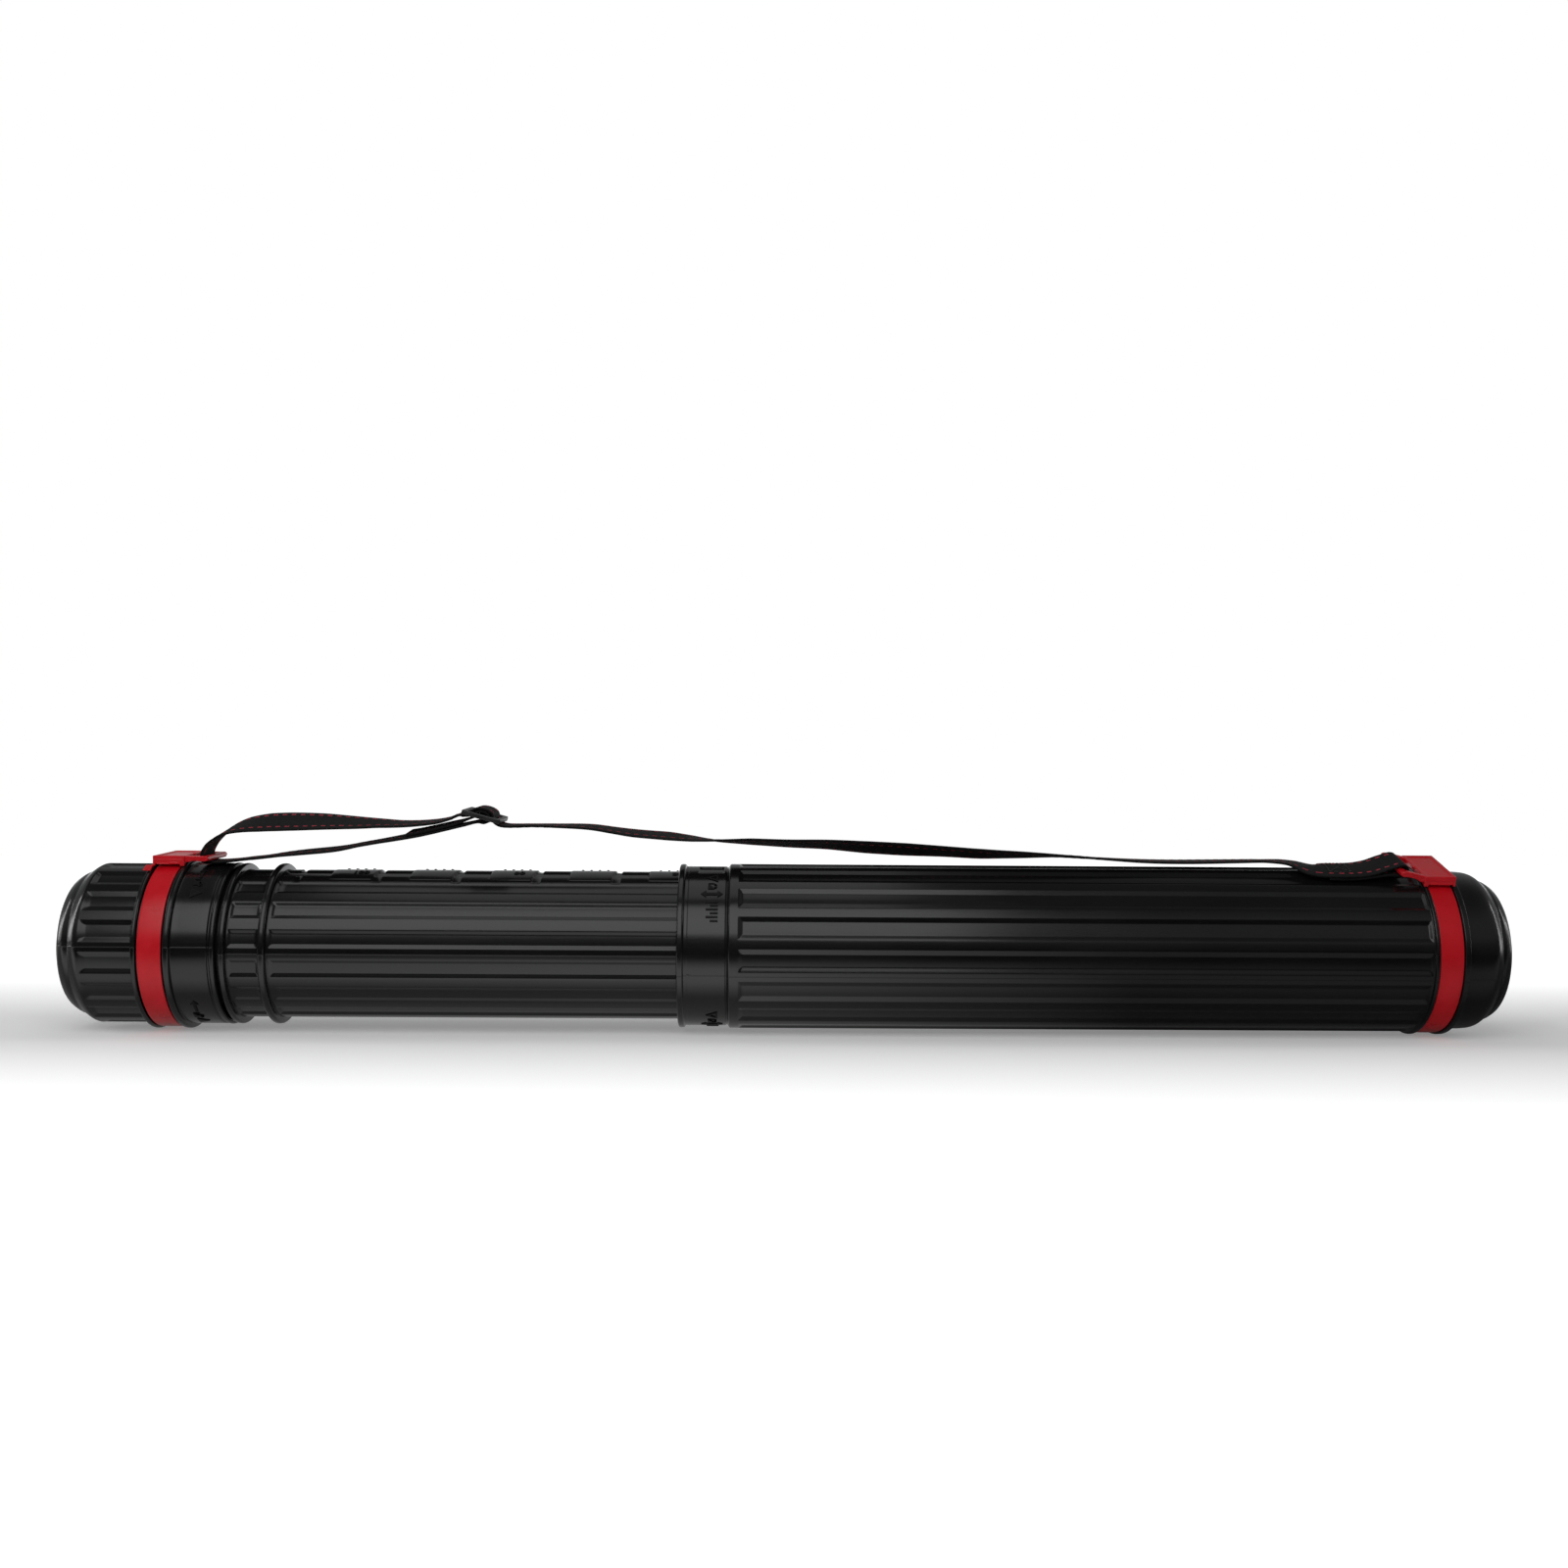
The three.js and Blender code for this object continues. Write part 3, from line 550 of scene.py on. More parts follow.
cap_buckle = buckle("cap_buckle_body", CAP_RING_X, turn=0, direction=1, rise=0.0, ear=True)
base_buckle = buckle("base_buckle_body", BASE_RING_X, turn=BASE_TURN, direction=-1, rise=2.9,
                     ear=False)
adjuster = moulded(
    "strap_adjuster_body", adjuster_lumps,
    MM_TO_FRAME @ Matrix.Rotation(radians(STRAP_LEAN), 4, "X")
    @ Matrix.Translation((ADJ_X, 0, ADJ_Z)) @ Matrix.Rotation(radians(ADJ_TILT), 4, "Y"),
    voxel=0.26, smooth=3)


# ---------------------------------------------------------------------------
# ring bands
# ---------------------------------------------------------------------------
def ring_band(name, ring_x, turn):
    """A strip round the groove; both ends turn up into the buckle's boss."""
    bottom, top, half = 51.4, 52.9, 7.2
    middle = (bottom + top) / 2
    section = np.array(rounded([   # x, r, corner cut
        (-half, bottom + 0.3, 0), (-half, top - 0.1, 0.35), (-half + 0.9, top, 0.5),
        (0, top + 0.05, 0), (half - 0.9, top, 0.5), (half, top - 0.1, 0.35),
        (half, bottom, 0.3), (-half, bottom, 0.3), (-half, bottom + 0.3, 0)], 3)[:-1])
    gap = 6.6                    # half the opening between the ends, degrees
    hook = gap + 1.7 / 2
    hook_width, neck_width = 4.7 / half, 4.9 / half
    # angle, lift from the strip's middle radius, width factor, tilt of the thickness
    start = [(hook, 2.9, hook_width, pi / 2), (hook, 1.0, hook_width, pi / 2),
             (hook + 0.35, 0.28, neck_width, pi / 4)]
    strip = []
    for angle in np.linspace(hook, 360 - hook, 361)[1:-1]:
        near = min(angle - gap, 360 - gap - angle)
        widen = min(max((near - 2.2) / 2.0, 0), 1)
        strip.append((angle, 0.0, neck_width + (1 - neck_width) * widen, 0.0))
    finish = [(360 - angle, lift, width, -tilt) for angle, lift, width, tilt in start[::-1]]
    angle, lift, width, tilt = np.array(start + strip + finish).T[..., None]
    depth = section[:, 1] - middle
    radial = middle + lift + depth * np.cos(tilt)
    sideways = depth * np.sin(tilt)
    psi = np.radians(angle + turn + STRAP_LEAN)
    points = to_frame(ring_x + section[:, 0] * width,
                      -(radial * np.sin(psi) + sideways * np.cos(psi)),
                      radial * np.cos(psi) - sideways * np.sin(psi))
    obj = mesh_object(name, points.reshape(-1, 3), tube_faces(*points.shape[:2]))
    return sharpen(obj, 50)


cap_band = ring_band("cap_ring_strip", CAP_RING_X, 0.0)
base_band = ring_band("base_ring_strip", BASE_RING_X, BASE_TURN)


# ---------------------------------------------------------------------------
# the strap's path
# ---------------------------------------------------------------------------
def by_adjuster(along, above):
    """A station given in the tilted adjuster's own directions."""
    c, s = cos(radians(ADJ_TILT)), sin(radians(ADJ_TILT))
    return (ADJ_X + along * c + above * s, ADJ_Z - along * s + above * c, 0, 0)


TURN = BASE_TURN
STRAP = [   # x, r, psi before the lean, extra roll
    # round the base buckle's bar (stations 0-15)
    (404, 53.4, TURN, 0), (414, 53.4, TURN, 0), (424, 53.7, TURN, 0), (434, 54.4, TURN, 0),
    (441, 54.95, TURN, 0), (446.5, 54.9, TURN, 0), (450.2, 55.1, TURN, 0),
    (451.9, 56.6, TURN, 0), (452.1, 58.8, TURN, 0), (451.2, 60.8, TURN, 0),
    (448.4, 61.5, TURN, 0), (442, 59.5, TURN, 0), (432, 56.4, TURN, 0), (420, 55.15, TURN, 0),
    (408, 54.95, TURN, 0), (398, 54.7, 13, 0),
    # along the outer tube to the adjuster (16-38)
    (386, 55.9, 4, -1), (368, 56.5, 0, -2), (350, 56.3, 0, -2), (312, 55.7, 0, -2),
    (288, 56.1, 0, -2), (263, 57.4, 0, -3), (238, 58.8, 0, -5), (213, 59.3, 0, -12),
    (188, 59.7, 0, -17.4), (164, 61.0, 0, -18.5), (139, 62.2, 0, -20.7), (114, 63.6, 0, -19.5),
    (89, 65.3, 0, -16), (64, 65.9, 0, -14), (40, 66.9, 0, -12), (18, 67.4, 0, -5),
    (2, 68.7, 0, 3), (-12, 70.1, 0, 7), (-35, 71.9, 0, 6), (-47, 73.5, 0, 4),
    (-62, 75.5, 0, 2), (-84, 76.1, 0, -1), (-98, 76.2, 0, -2),
    # over the adjuster (39-49)
    by_adjuster(15, -2.6), by_adjuster(10.6, -2.5), by_adjuster(7.9, -1.2),
    by_adjuster(6.9, 1.4), by_adjuster(5.5, 3.5), by_adjuster(0.4, 4.8),
    by_adjuster(-4.6, 3.9), by_adjuster(-6.8, 1.4), by_adjuster(-8.0, -1.4),
    by_adjuster(-11, -2.7), by_adjuster(-15.2, -3.4),
    # upper run to the cap buckle (50-63)
    (-150, 80.9, 0, 2), (-158, 78.7, 0, 3), (-171, 77.2, 0, 3.5), (-184, 76.7, 0, 4.5),
    (-196, 77.0, 0, 7), (-208, 77.2, 0, 11), (-221, 77.6, 0, 15), (-233, 77.9, 0, 19),
    (-246, 77.9, 0, 22), (-258, 77.7, 0, 23.5), (-270, 77.1, 0, 23), (-282, 75.5, 0, 18),
    (-291, 72.6, 0, 11), (-298, 68.3, 0, 5),
    # round the cap buckle's bar (64-70)
    (-303, 63.6, 0, 1), (-305.7, 58.9, 0, 0), (-306.3, 55.4, 0, 0), (-305.6, 53.2, 0, 0),
    (-303.8, 52.2, 0, 0), (-301, 52.0, 0, 0), (-296, 52.2, 0, 0),
    # lower run back to the adjuster (71-89)
    (-288, 52.9, 0, 0), (-279, 54.1, 0, 0), (-270, 55.1, 0, 0), (-258, 56.9, 0, 1),
    (-246, 58.3, 0, 2), (-221, 61.0, 0, 2), (-208, 63.6, 0, 1), (-196, 65.8, 0, 1.5),
    (-186, 67.6, 0, 3), (-179, 68.9, 0, 4), (-170, 70.5, 0, 4), (-160, 72.7, 0, 4),
    (-151, 74.8, 0, 3.5), (-141, 77.0, 0, 2),
    # round the adjuster's middle bar, then the tail
    by_adjuster(-1.6, -4.2), by_adjuster(2.6, -3.6), by_adjuster(4.4, -1.6),
    by_adjuster(4.3, 0.9), by_adjuster(2.6, 2.5), by_adjuster(0, 2.9), by_adjuster(-2.6, 2.5),
    by_adjuster(-4.2, 0.8), by_adjuster(-4.9, -1.2), by_adjuster(-7.6, -3.6),
    (-144.2, 78.8, 0, 2), (-151, 77.0, 0, 3.5), (-160, 74.8, 0, 4), (-170, 72.5, 0, 4),
    (-178, 71.1, 0, 4),
]
# station numbers where the strap is parted
BASE_LOOP_END = 15
HUMP_START, HUMP_END = 38, 50
CAP_LOOP_START, CAP_LOOP_END = 63, 70
TAIL_START = 80
LAST = len(STRAP) - 1

WEB_W, WEB_T = 25.0, 1.4
HALF_WEB = WEB_W / 2
RIB, WEFT = 1.25, 1.7     # pitch of the weave across and along the strap
DASH_V, DASH_W, DASH_LEN, DASH_PITCH = 8.6, 0.62, 2.8, 5.75   # offset, half width, run, pitch
SEW_HALF = 7.6            # half width of the sewn boxes
WEB_STEP = 0.45


def spline(points, t):
    """Centripetal Catmull-Rom through the points, t in station numbers."""
    i = np.clip(np.floor(t).astype(int), 0, len(points) - 2)
    f = (t - i)[:, None]
    ends = np.vstack([2 * points[0] - points[1], points, 2 * points[-1] - points[-2]])
    p0, p1, p2, p3 = ends[i], ends[i + 1], ends[i + 2], ends[i + 3]
    d0, d1, d2 = (np.linalg.norm(b - a, axis=1)[:, None] ** 0.5
                  for a, b in ((p0, p1), (p1, p2), (p2, p3)))
    leave = ((p1 - p0) / d0 - (p2 - p0) / (d0 + d1) + (p2 - p1) / d1) * d1
    arrive = ((p2 - p1) / d1 - (p3 - p1) / (d1 + d2) + (p3 - p2) / d2) * d1
    return (p1 + leave * f + (-3 * p1 + 3 * p2 - 2 * leave - arrive) * f ** 2
            + (2 * p1 - 2 * p2 + leave + arrive) * f ** 3)


def unit(vectors):
    return vectors / np.linalg.norm(vectors, axis=1)[:, None]


def smoothed(values, reach):
    """Gaussian mean over about `reach` mm each way."""
    kernel = np.exp(-np.linspace(-2, 2, 2 * int(reach / WEB_STEP) + 1) ** 2)
    kernel /= kernel.sum()
    return np.convolve(np.pad(values, len(kernel) // 2, mode="edge"), kernel, mode="valid")


stations = np.array([
    (x, -r * sin(radians(psi + STRAP_LEAN)), r * cos(radians(psi + STRAP_LEAN)))
    for x, r, psi, _ in STRAP])
station_roll = np.array([psi + roll + STRAP_LEAN for _, _, psi, roll in STRAP], float)
fine_t = np.linspace(0, LAST, 12000)
fine_path = spline(stations, fine_t)
fine_length = np.concatenate(
    [[0], np.cumsum(np.linalg.norm(np.diff(fine_path, axis=0), axis=1))])
TOTAL = fine_length[-1]

# evenly spaced points along the strap: length, station number, place and directions
LENGTHS = np.linspace(0, TOTAL, int(TOTAL / WEB_STEP) + 1)
NUMBERS = np.interp(LENGTHS, fine_length, fine_t)
PATH = spline(stations, NUMBERS)
ALONG = unit(np.gradient(PATH, axis=0))
roll = np.radians(smoothed(np.interp(NUMBERS, np.arange(len(STRAP)), station_roll), reach=6))
level = np.stack([np.zeros(len(LENGTHS)), -np.cos(roll), -np.sin(roll)], -1)
ACROSS = unit(level - ALONG * (level * ALONG).sum(1)[:, None])
NORMAL = np.cross(ALONG, ACROSS)
BEND = np.linalg.norm(np.gradient(ALONG, axis=0), axis=1) / WEB_STEP      # 1/mm


def strap_at(length):
    """Place and the directions along, across and normal at a path length."""
    i = np.clip(np.searchsorted(LENGTHS, length), 0, len(LENGTHS) - 1)
    return PATH[i], ALONG[i], ACROSS[i], NORMAL[i]


def length_at(number):
    """Path length at a station number."""
    return float(np.interp(number, fine_t, fine_length))


def length_where(x, first, last):
    """Path length where the strap passes x, between two station numbers."""
    part = (fine_t >= first) & (fine_t <= last)
    i = np.argmin(np.abs(fine_path[part][:, 0] - x))
    return float(fine_length[part][i])


# ---------------------------------------------------------------------------
# webbing and sewing
# ---------------------------------------------------------------------------
def web_piece(name, start, end):
    """The strap between two path lengths; UVs are metres along and across it."""
    first, last = (int(np.argmin(abs(LENGTHS - s))) for s in (start, end))
    part = slice(first, last + 1)
    s, number, normal = LENGTHS[part], NUMBERS[part], NORMAL[part]
    v = np.linspace(-HALF_WEB, HALF_WEB, (60) + 1)
    # one face from edge to edge, then back on the other
    face = np.concatenate([np.ones(len(v)), -np.ones(len(v))])
    v = np.concatenate([v, v[::-1]])
    edge = np.clip((HALF_WEB - np.abs(v)) / 0.9, 0, 1)
    thick = WEB_T / 2 * (0.34 + 0.66 * np.sqrt(1 - (1 - edge) ** 2))
    sg, vg = np.meshgrid(s, v, indexing="ij")
    # weave
    rib = np.floor((vg + HALF_WEB) / RIB)
    rib_height = np.abs(np.sin(np.pi * (vg + HALF_WEB) / RIB)) ** 0.7
    phase = sg / WEFT + 0.5 * (rib % 2)
    bump = 0.13 * rib_height * (0.45 + 0.55 * np.cos(np.pi * (phase % 1.0 - 0.5))) - 0.05
    dash = (np.abs(np.abs(vg) - DASH_V) < DASH_W) & ((sg % DASH_PITCH) < DASH_LEN)
    bump = bump + 0.09 * dash
    height = face[None, :] * (thick[None, :] + bump * edge[None, :])
    # slight crosswise cupping and ripple of a strap that has been packed away
    free = np.clip(1 - BEND[part] * 14, 0, 1)[:, None]
    cup = 0.35 * np.sin(s / 47.0 + 0.6)[:, None] * free * ((v / HALF_WEB) ** 2 - 0.35)
    ripple = 0.16 * np.sin(sg / 21.0 + vg * 0.16) * free
    away = np.clip(np.minimum(s - 90, TOTAL - 60 - s) / 20, 0, 1)[:, None]
    height = height + (cup + ripple) * away
    # where it lies on the tube it bends round it
    up = np.sign(normal[:, 2])[:, None]
    lie = (np.clip((3.4 - number) / 1.6, 0, 1)
           + np.clip((number - 11.3) / 1.4, 0, 1) * np.clip((16.4 - number) / 1.4, 0, 1))
    height = height - up * 1.35 * lie[:, None] * (v / HALF_WEB) ** 2
    points = (PATH[part][:, None, :] + ACROSS[part][:, None, :] * v[None, :, None]
              + normal[:, None, :] * height[..., None])
    verts = to_frame(*np.moveaxis(points, -1, 0)).reshape(-1, 3)
    uvs = np.stack([sg / 1000, (vg + HALF_WEB) / 1000], -1).reshape(-1, 2)
    obj = mesh_object(name, verts, tube_faces(*points.shape[:2]), uvs)
    with editing(obj.data) as bm:     # sharp edges round the two cut ends
        for e in bm.edges:
            if any(len(f.verts) > 4 for f in e.link_faces):
                e.smooth = False
    return obj


# name, start and end length, then the body it rides on, or two bodies with a start and end x,
# which nothing reads: those pieces are left on no body
middle_x = length_where(0, 30, 34)
upper_x = length_where(-225, 54, 58)
lower_x = length_where(-260, 72, 76)
PIECES = [
    ("strap_base_loop", 0.0, length_at(BASE_LOOP_END), "base_ring"),
    ("strap_main_run_a", length_at(BASE_LOOP_END), middle_x, "base_ring", "extension", 396, 2),
    ("strap_main_run_b", middle_x, length_at(HUMP_START), "extension", "adjuster", -2, -96),
    ("strap_slider_hump", length_at(HUMP_START), length_at(HUMP_END), "adjuster"),
    ("strap_upper_run_a", length_at(HUMP_END), upper_x, "adjuster", "extension", -152, -223),
    ("strap_upper_run_b", upper_x, length_at(CAP_LOOP_START),
     "extension", "cap_ring", -227, -296),
    ("strap_cap_loop", length_at(CAP_LOOP_START), length_at(CAP_LOOP_END), "cap_ring"),
    ("strap_lower_run_a", length_at(CAP_LOOP_END), lower_x,
     "cap_ring", "extension", -294.5, -262),
    ("strap_lower_run_b", lower_x, length_at(TAIL_START), "extension", "adjuster", -258, -181),
    ("strap_slider_loop", length_at(TAIL_START), TOTAL, "adjuster"),
]
strap_pieces = [(web_piece(name, start, end), bodies) for name, start, end, *bodies in PIECES]


def stitches(name, start, end):
    """A boxed cross of short thread stitches between two path lengths."""
    side = 1 if strap_at((start + end) / 2)[3][2] > 0 else -1
    lift = WEB_T / 2 + 0.14
    pitch, thread_r = 2.3, 0.26
    rings, around = 9, 8
    a, b = -SEW_HALF, SEW_HALF
    lines = [((start, a), (end, a)), ((start, b), (end, b)), ((start, a), (start, b)),
             ((end, a), (end, b)), ((start, a), (end, b)), ((start, b), (end, a))]
    verts, faces = [], []
    for (s0, v0), (s1, v1) in lines:
        count = max(2, int(hypot(s1 - s0, v1 - v0) / pitch))
        for k in range(count):
            t0, t1 = (k + 0.12) / count, (k + 0.88) / count
            faces += tube_faces(rings, around, first=len(verts))
            for i in range(rings):
                f = i / (rings - 1)
                t = t0 + (t1 - t0) * f
                point, along, across, normal = strap_at(s0 + (s1 - s0) * t)
                heading = along * (s1 - s0) + across * (v1 - v0)
                sideways = np.cross(normal, heading / np.linalg.norm(heading))
                r = thread_r * sqrt(max(1 - (2 * f - 1) ** 4, 0.04))
                centre = (point + across * (v0 + (v1 - v0) * t)
                          + normal * side * (lift + 0.12 * sin(pi * f)))
                for j in range(around):
                    q = 2 * pi * j / around
                    verts.append(centre + sideways * r * cos(q) + normal * r * sin(q))
    return mesh_object(name, to_frame(*np.array(verts).T), faces)


base_sew = stitches("base_stitching", length_at(13.15), length_at(14.25))
tail_sew = stitches("slider_stitching", length_at(LAST - 1.8), length_at(LAST - 0.2))


# ---------------------------------------------------------------------------
# raised marks: arrows, padlocks, bars and the scale's numbers
# ---------------------------------------------------------------------------
MARK_DEPTH, MARK_BEVEL = 0.45, 0.12


def mark(loops):
    """A flat filled outline, x along the tube and y round it."""
    curve = bpy.data.curves.new("mark", "CURVE")
    curve.dimensions = "2D"
    curve.fill_mode = "BOTH"
    curve.extrude = MARK_DEPTH
    curve.bevel_depth = MARK_BEVEL
    curve.bevel_resolution = 1
    for loop in loops:
        line = curve.splines.new("POLY")
        line.points.add(len(loop) - 1)
        for point, (x, y) in zip(line.points, loop):
            point.co = (x, y, 0, 1)
        line.use_cyclic_u = True
    return curve


def number_mark(body):
    text = bpy.data.curves.new("num", "FONT")
    text.body = body
    text.size = 7.0
    text.extrude = MARK_DEPTH - 0.06
    text.bevel_depth = 0.1
    text.bevel_resolution = 1
    text.offset = 0.12
    text.align_x = "CENTER"
    text.align_y = "CENTER"
    text.resolution_u = 6
    return text


def wrapped(name, items, r, slice_width=0.9):
    """Lays flat marks on a cylinder. items: curve, x, psi and turn in degrees."""
    joined = bmesh.new()
    for curve, x, psi, turn in items:
        flat_mark = add_object("tmp", curve)
        bpy.context.view_layer.update()
        depsgraph = bpy.context.evaluated_depsgraph_get()
        mesh = bpy.data.meshes.new_from_object(flat_mark.evaluated_get(depsgraph))
        bpy.data.objects.remove(flat_mark)
        bm = bmesh.new()
        bm.from_mesh(mesh)
        bpy.data.meshes.remove(mesh)
        bmesh.ops.remove_doubles(bm, verts=bm.verts, dist=0.002)
        bmesh.ops.rotate(bm, cent=(0, 0, 0), matrix=Matrix.Rotation(radians(turn), 3, "Z"),
                         verts=bm.verts)
        # sliced across, so the mark can follow the curve
        ys = [v.co.y for v in bm.verts]
        y = min(ys) + slice_width
        while y < max(ys):
            bmesh.ops.bisect_plane(bm, geom=bm.verts[:] + bm.edges[:] + bm.faces[:], dist=1e-5,
                                   plane_co=(0, y, 0), plane_no=(0, 1, 0))
            y += slice_width
        for v in bm.verts:
            v.co = Vector(place(x + v.co.x, r + v.co.z, radians(psi) + v.co.y / r))
        mesh = mesh_from(bm, "tmp")
        joined.from_mesh(mesh)
        bpy.data.meshes.remove(mesh)
    bmesh.ops.recalc_face_normals(joined, faces=joined.faces)
    return add_object(name, mesh_from(joined, name))


def padlock(is_open):
    """Loops of a padlock; an open one has its shackle moved sideways."""
    def half_circle(r, start, end, n=16):
        turns = [radians(start + (end - start) * i / n) for i in range(n + 1)]
        return [(1.2 + r * cos(t), shift + r * sin(t)) for t in turns]
    shift = 1.6 if is_open else 0.0
    body = [(-2.6, -2.4), (1.2, -2.4), (1.2, 2.4), (-2.6, 2.4)]
    shackle = []
    for bow in (half_circle(1.9, -90, 90), half_circle(1.15, 90, -90)):
        shackle += [(1.0, bow[0][1])] + bow + [(1.0, bow[-1][1])]
    return [body, shackle]


def bar(length, width):
    x, y = length / 2, width / 2
    return [[(-x, -y), (x, -y), (x, y), (-x, y)]]


OPEN_TRIANGLE = [[(-3.6, 0), (3.4, -3.9), (3.4, 3.9)], [(-1.5, 0), (2.3, 2.1), (2.3, -2.1)]]
TRIANGLE = [[(3.4, 0), (-3.2, 3.6), (-3.2, -3.6)]]
DOUBLE_ARROW = [[(-6.6, 0), (-3.6, -2.4), (-3.6, -0.8), (3.6, -0.8), (3.6, -2.4), (6.6, 0),
                 (3.6, 2.4), (3.6, 0.8), (-3.6, 0.8), (-3.6, 2.4)]]
ROUND_ARROW = [[(-0.7, -5.2), (0.7, -5.2), (0.7, 2.2), (2.3, 2.2), (0, 5.2), (-2.3, 2.2),
                (-0.7, 2.2)]]


def outer_tube_marks():
    items = []
    for psi in (0, 114):
        items += [(mark(OPEN_TRIANGLE), 16.6, psi + 29.5, 0),
                  (mark(padlock(is_open=False)), 16.6, psi + 39.0, 0),
                  (mark(DOUBLE_ARROW), 16.4, psi + 46.5, 0)]
        for k in range(6):     # long and short bars in turn
            length, x = ((7.2, 16.6), (4.6, 17.9))[k % 2]
            items.append((mark(bar(length, 1.05)), x, psi + 53.5 + 2.9 * k, 0))
    return wrapped("outer_tube_marks", items, COLLAR_R)


def end_cap_marks():
    items = []
    for psi in (0, 108):
        items += [(mark(ROUND_ARROW), -301.6, psi + 27.5, 180),
                  (mark(padlock(is_open=True)), -302.0, psi + 38.5, 0),
                  (mark(TRIANGLE), -301.0, psi + 48.5, 0)]
    return wrapped("end_cap_marks", items, CAP_COLLAR_R)


def inner_tube_scale():
    """Numbers beside some notches, and four bars beside each."""
    numbers = {2: "70", 0: "80", -2: "90", -4: "100"}
    items = []
    for m in range(-4, 4):
        x = NOTCH_X + m * NOTCH_PITCH
        if m in numbers:
            items.append((number_mark(numbers[m]), x - 12.5, 13.5, 0))
        for k in range(1, 5):
            items.append((mark(bar(3.4, 0.9)), x - 2.6 - k * 5.4, -6.0, 90))
    return wrapped("inner_tube_scale", items, SCALE_R)


outer_marks = outer_tube_marks()
cap_marks = end_cap_marks()
scale_marks = inner_tube_scale()
for marks in (outer_marks, cap_marks, scale_marks):
    shade(marks.data, smooth=False)


# ---------------------------------------------------------------------------
# lugs, ribs and the gate nub
# ---------------------------------------------------------------------------
def wedges(name, radii, spans, xs):
    """Bevelled pieces of ring, one for each span of psi."""
    bm = bmesh.new()
    for span in spans:
        prism(bm, sector(*radii, *span, 14), "x", *xs, 0.35)
    mesh = mesh_from(bm, name)
    mesh.transform(MM_TO_FRAME)
    obj = add_object(name, mesh)
    shade(mesh)
    return sharpen(obj, 40)


lock_lug = wedges("lock_lug", (46.3, 49.8), [(34.4, 39.8)], (NOTCH_X - 1.6, NOTCH_X + 1.6))
neck_rib = wedges("neck_bayonet_rib", (46.4, 48.3),
                  [(c - 30, c + 30) for c in (45, 135, 225, 315)], (-305, -302))
cap_lugs = wedges("cap_bayonet_lugs", (47.5, 49.8),
                  [(c - 9, c + 9) for c in (0, 90, 180, 270)], (-300.4, -297.6))
gate = wedges("gate_nub", (50.2, 51.2), [(OUTER_SEAM - 0.9, OUTER_SEAM + 0.9)], (1.4, 3.2))


# ---------------------------------------------------------------------------
# materials
# ---------------------------------------------------------------------------
class Nodes:
    """Short calls that add and link nodes in the tree of a material or world."""

    def __init__(self, owner, output):
        owner.use_nodes = True
        self.tree = owner.node_tree
        self.tree.nodes.clear()
        self.output = self.add(output)

    def put(self, node, inputs):
        """Links or sets inputs, given as socket name or number: value."""
        for key, value in inputs.items():
            if isinstance(value, bpy.types.NodeSocket):
                self.tree.links.new(value, node.inputs[key])
            else:
                node.inputs[key].default_value = value

    def add(self, kind, inputs=None, **settings):
        node = self.tree.nodes.new(kind)
        for key, value in settings.items():
            setattr(node, key, value)
        self.put(node, inputs or {})
        return node

    def coords(self, scale=(1, 1, 1)):
        source = self.add("ShaderNodeTexCoord").outputs["Object"]
        return self.add("ShaderNodeMapping", {"Vector": source, "Scale": scale}).outputs[0]

    def noise(self, vector, scale, detail=3.0, rough=0.5):
        return self.add("ShaderNodeTexNoise", {"Vector": vector, "Scale": scale,
                        "Detail": detail, "Roughness": rough}).outputs["Fac"]

    def math(self, operation, a, b=0.0):
        return self.add("ShaderNodeMath", {0: a, 1: b}, operation=operation).outputs[0]

    def times(self, a, b):
        return self.math("MULTIPLY", a, b)

    def plus(self, a, b):
        return self.math("ADD", a, b)

    def remap(self, value, span=(0.3, 0.7), to=(0.0, 1.0)):
        return self.add("ShaderNodeMapRange", {
            "Value": value, "From Min": span[0], "From Max": span[1],
            "To Min": to[0], "To Max": to[1]}).outputs[0]

    def mix(self, factor, a, b):
        """Colours a to b, each a socket or an (r, g, b)."""
        a, b = ((*c, 1.0) if isinstance(c, tuple) else c for c in (a, b))
        return self.add("ShaderNodeMix", {0: factor, 6: a, 7: b}, data_type="RGBA").outputs[2]

    def mix_shader(self, factor, a, b):
        return self.add("ShaderNodeMixShader", {0: factor, 1: a, 2: b}).outputs[0]

    def bump(self, height, strength, distance, below=None):
        inputs = {"Height": height, "Strength": strength, "Distance": distance}
        if below is not None:
            inputs["Normal"] = below
        return self.add("ShaderNodeBump", inputs).outputs[0]

    def separate(self, vector):
        return self.add("ShaderNodeSeparateXYZ", {0: vector}).outputs

    def wear(self, span):
        """0 to 1 towards the convex edges."""
        pointiness = self.add("ShaderNodeNewGeometry").outputs["Pointiness"]
        return self.remap(pointiness, span=span)


class Surface(Nodes):
    """A material with a Principled shader."""

    def __init__(self, name):
        self.material = bpy.data.materials.new(name)
        super().__init__(self.material, "ShaderNodeOutputMaterial")
        self.bsdf = self.add("ShaderNodeBsdfPrincipled")
        self.put(self.output, {0: self.bsdf.outputs[0]})

    def finish(self, inputs):
        self.put(self.bsdf, inputs)
        return self.material


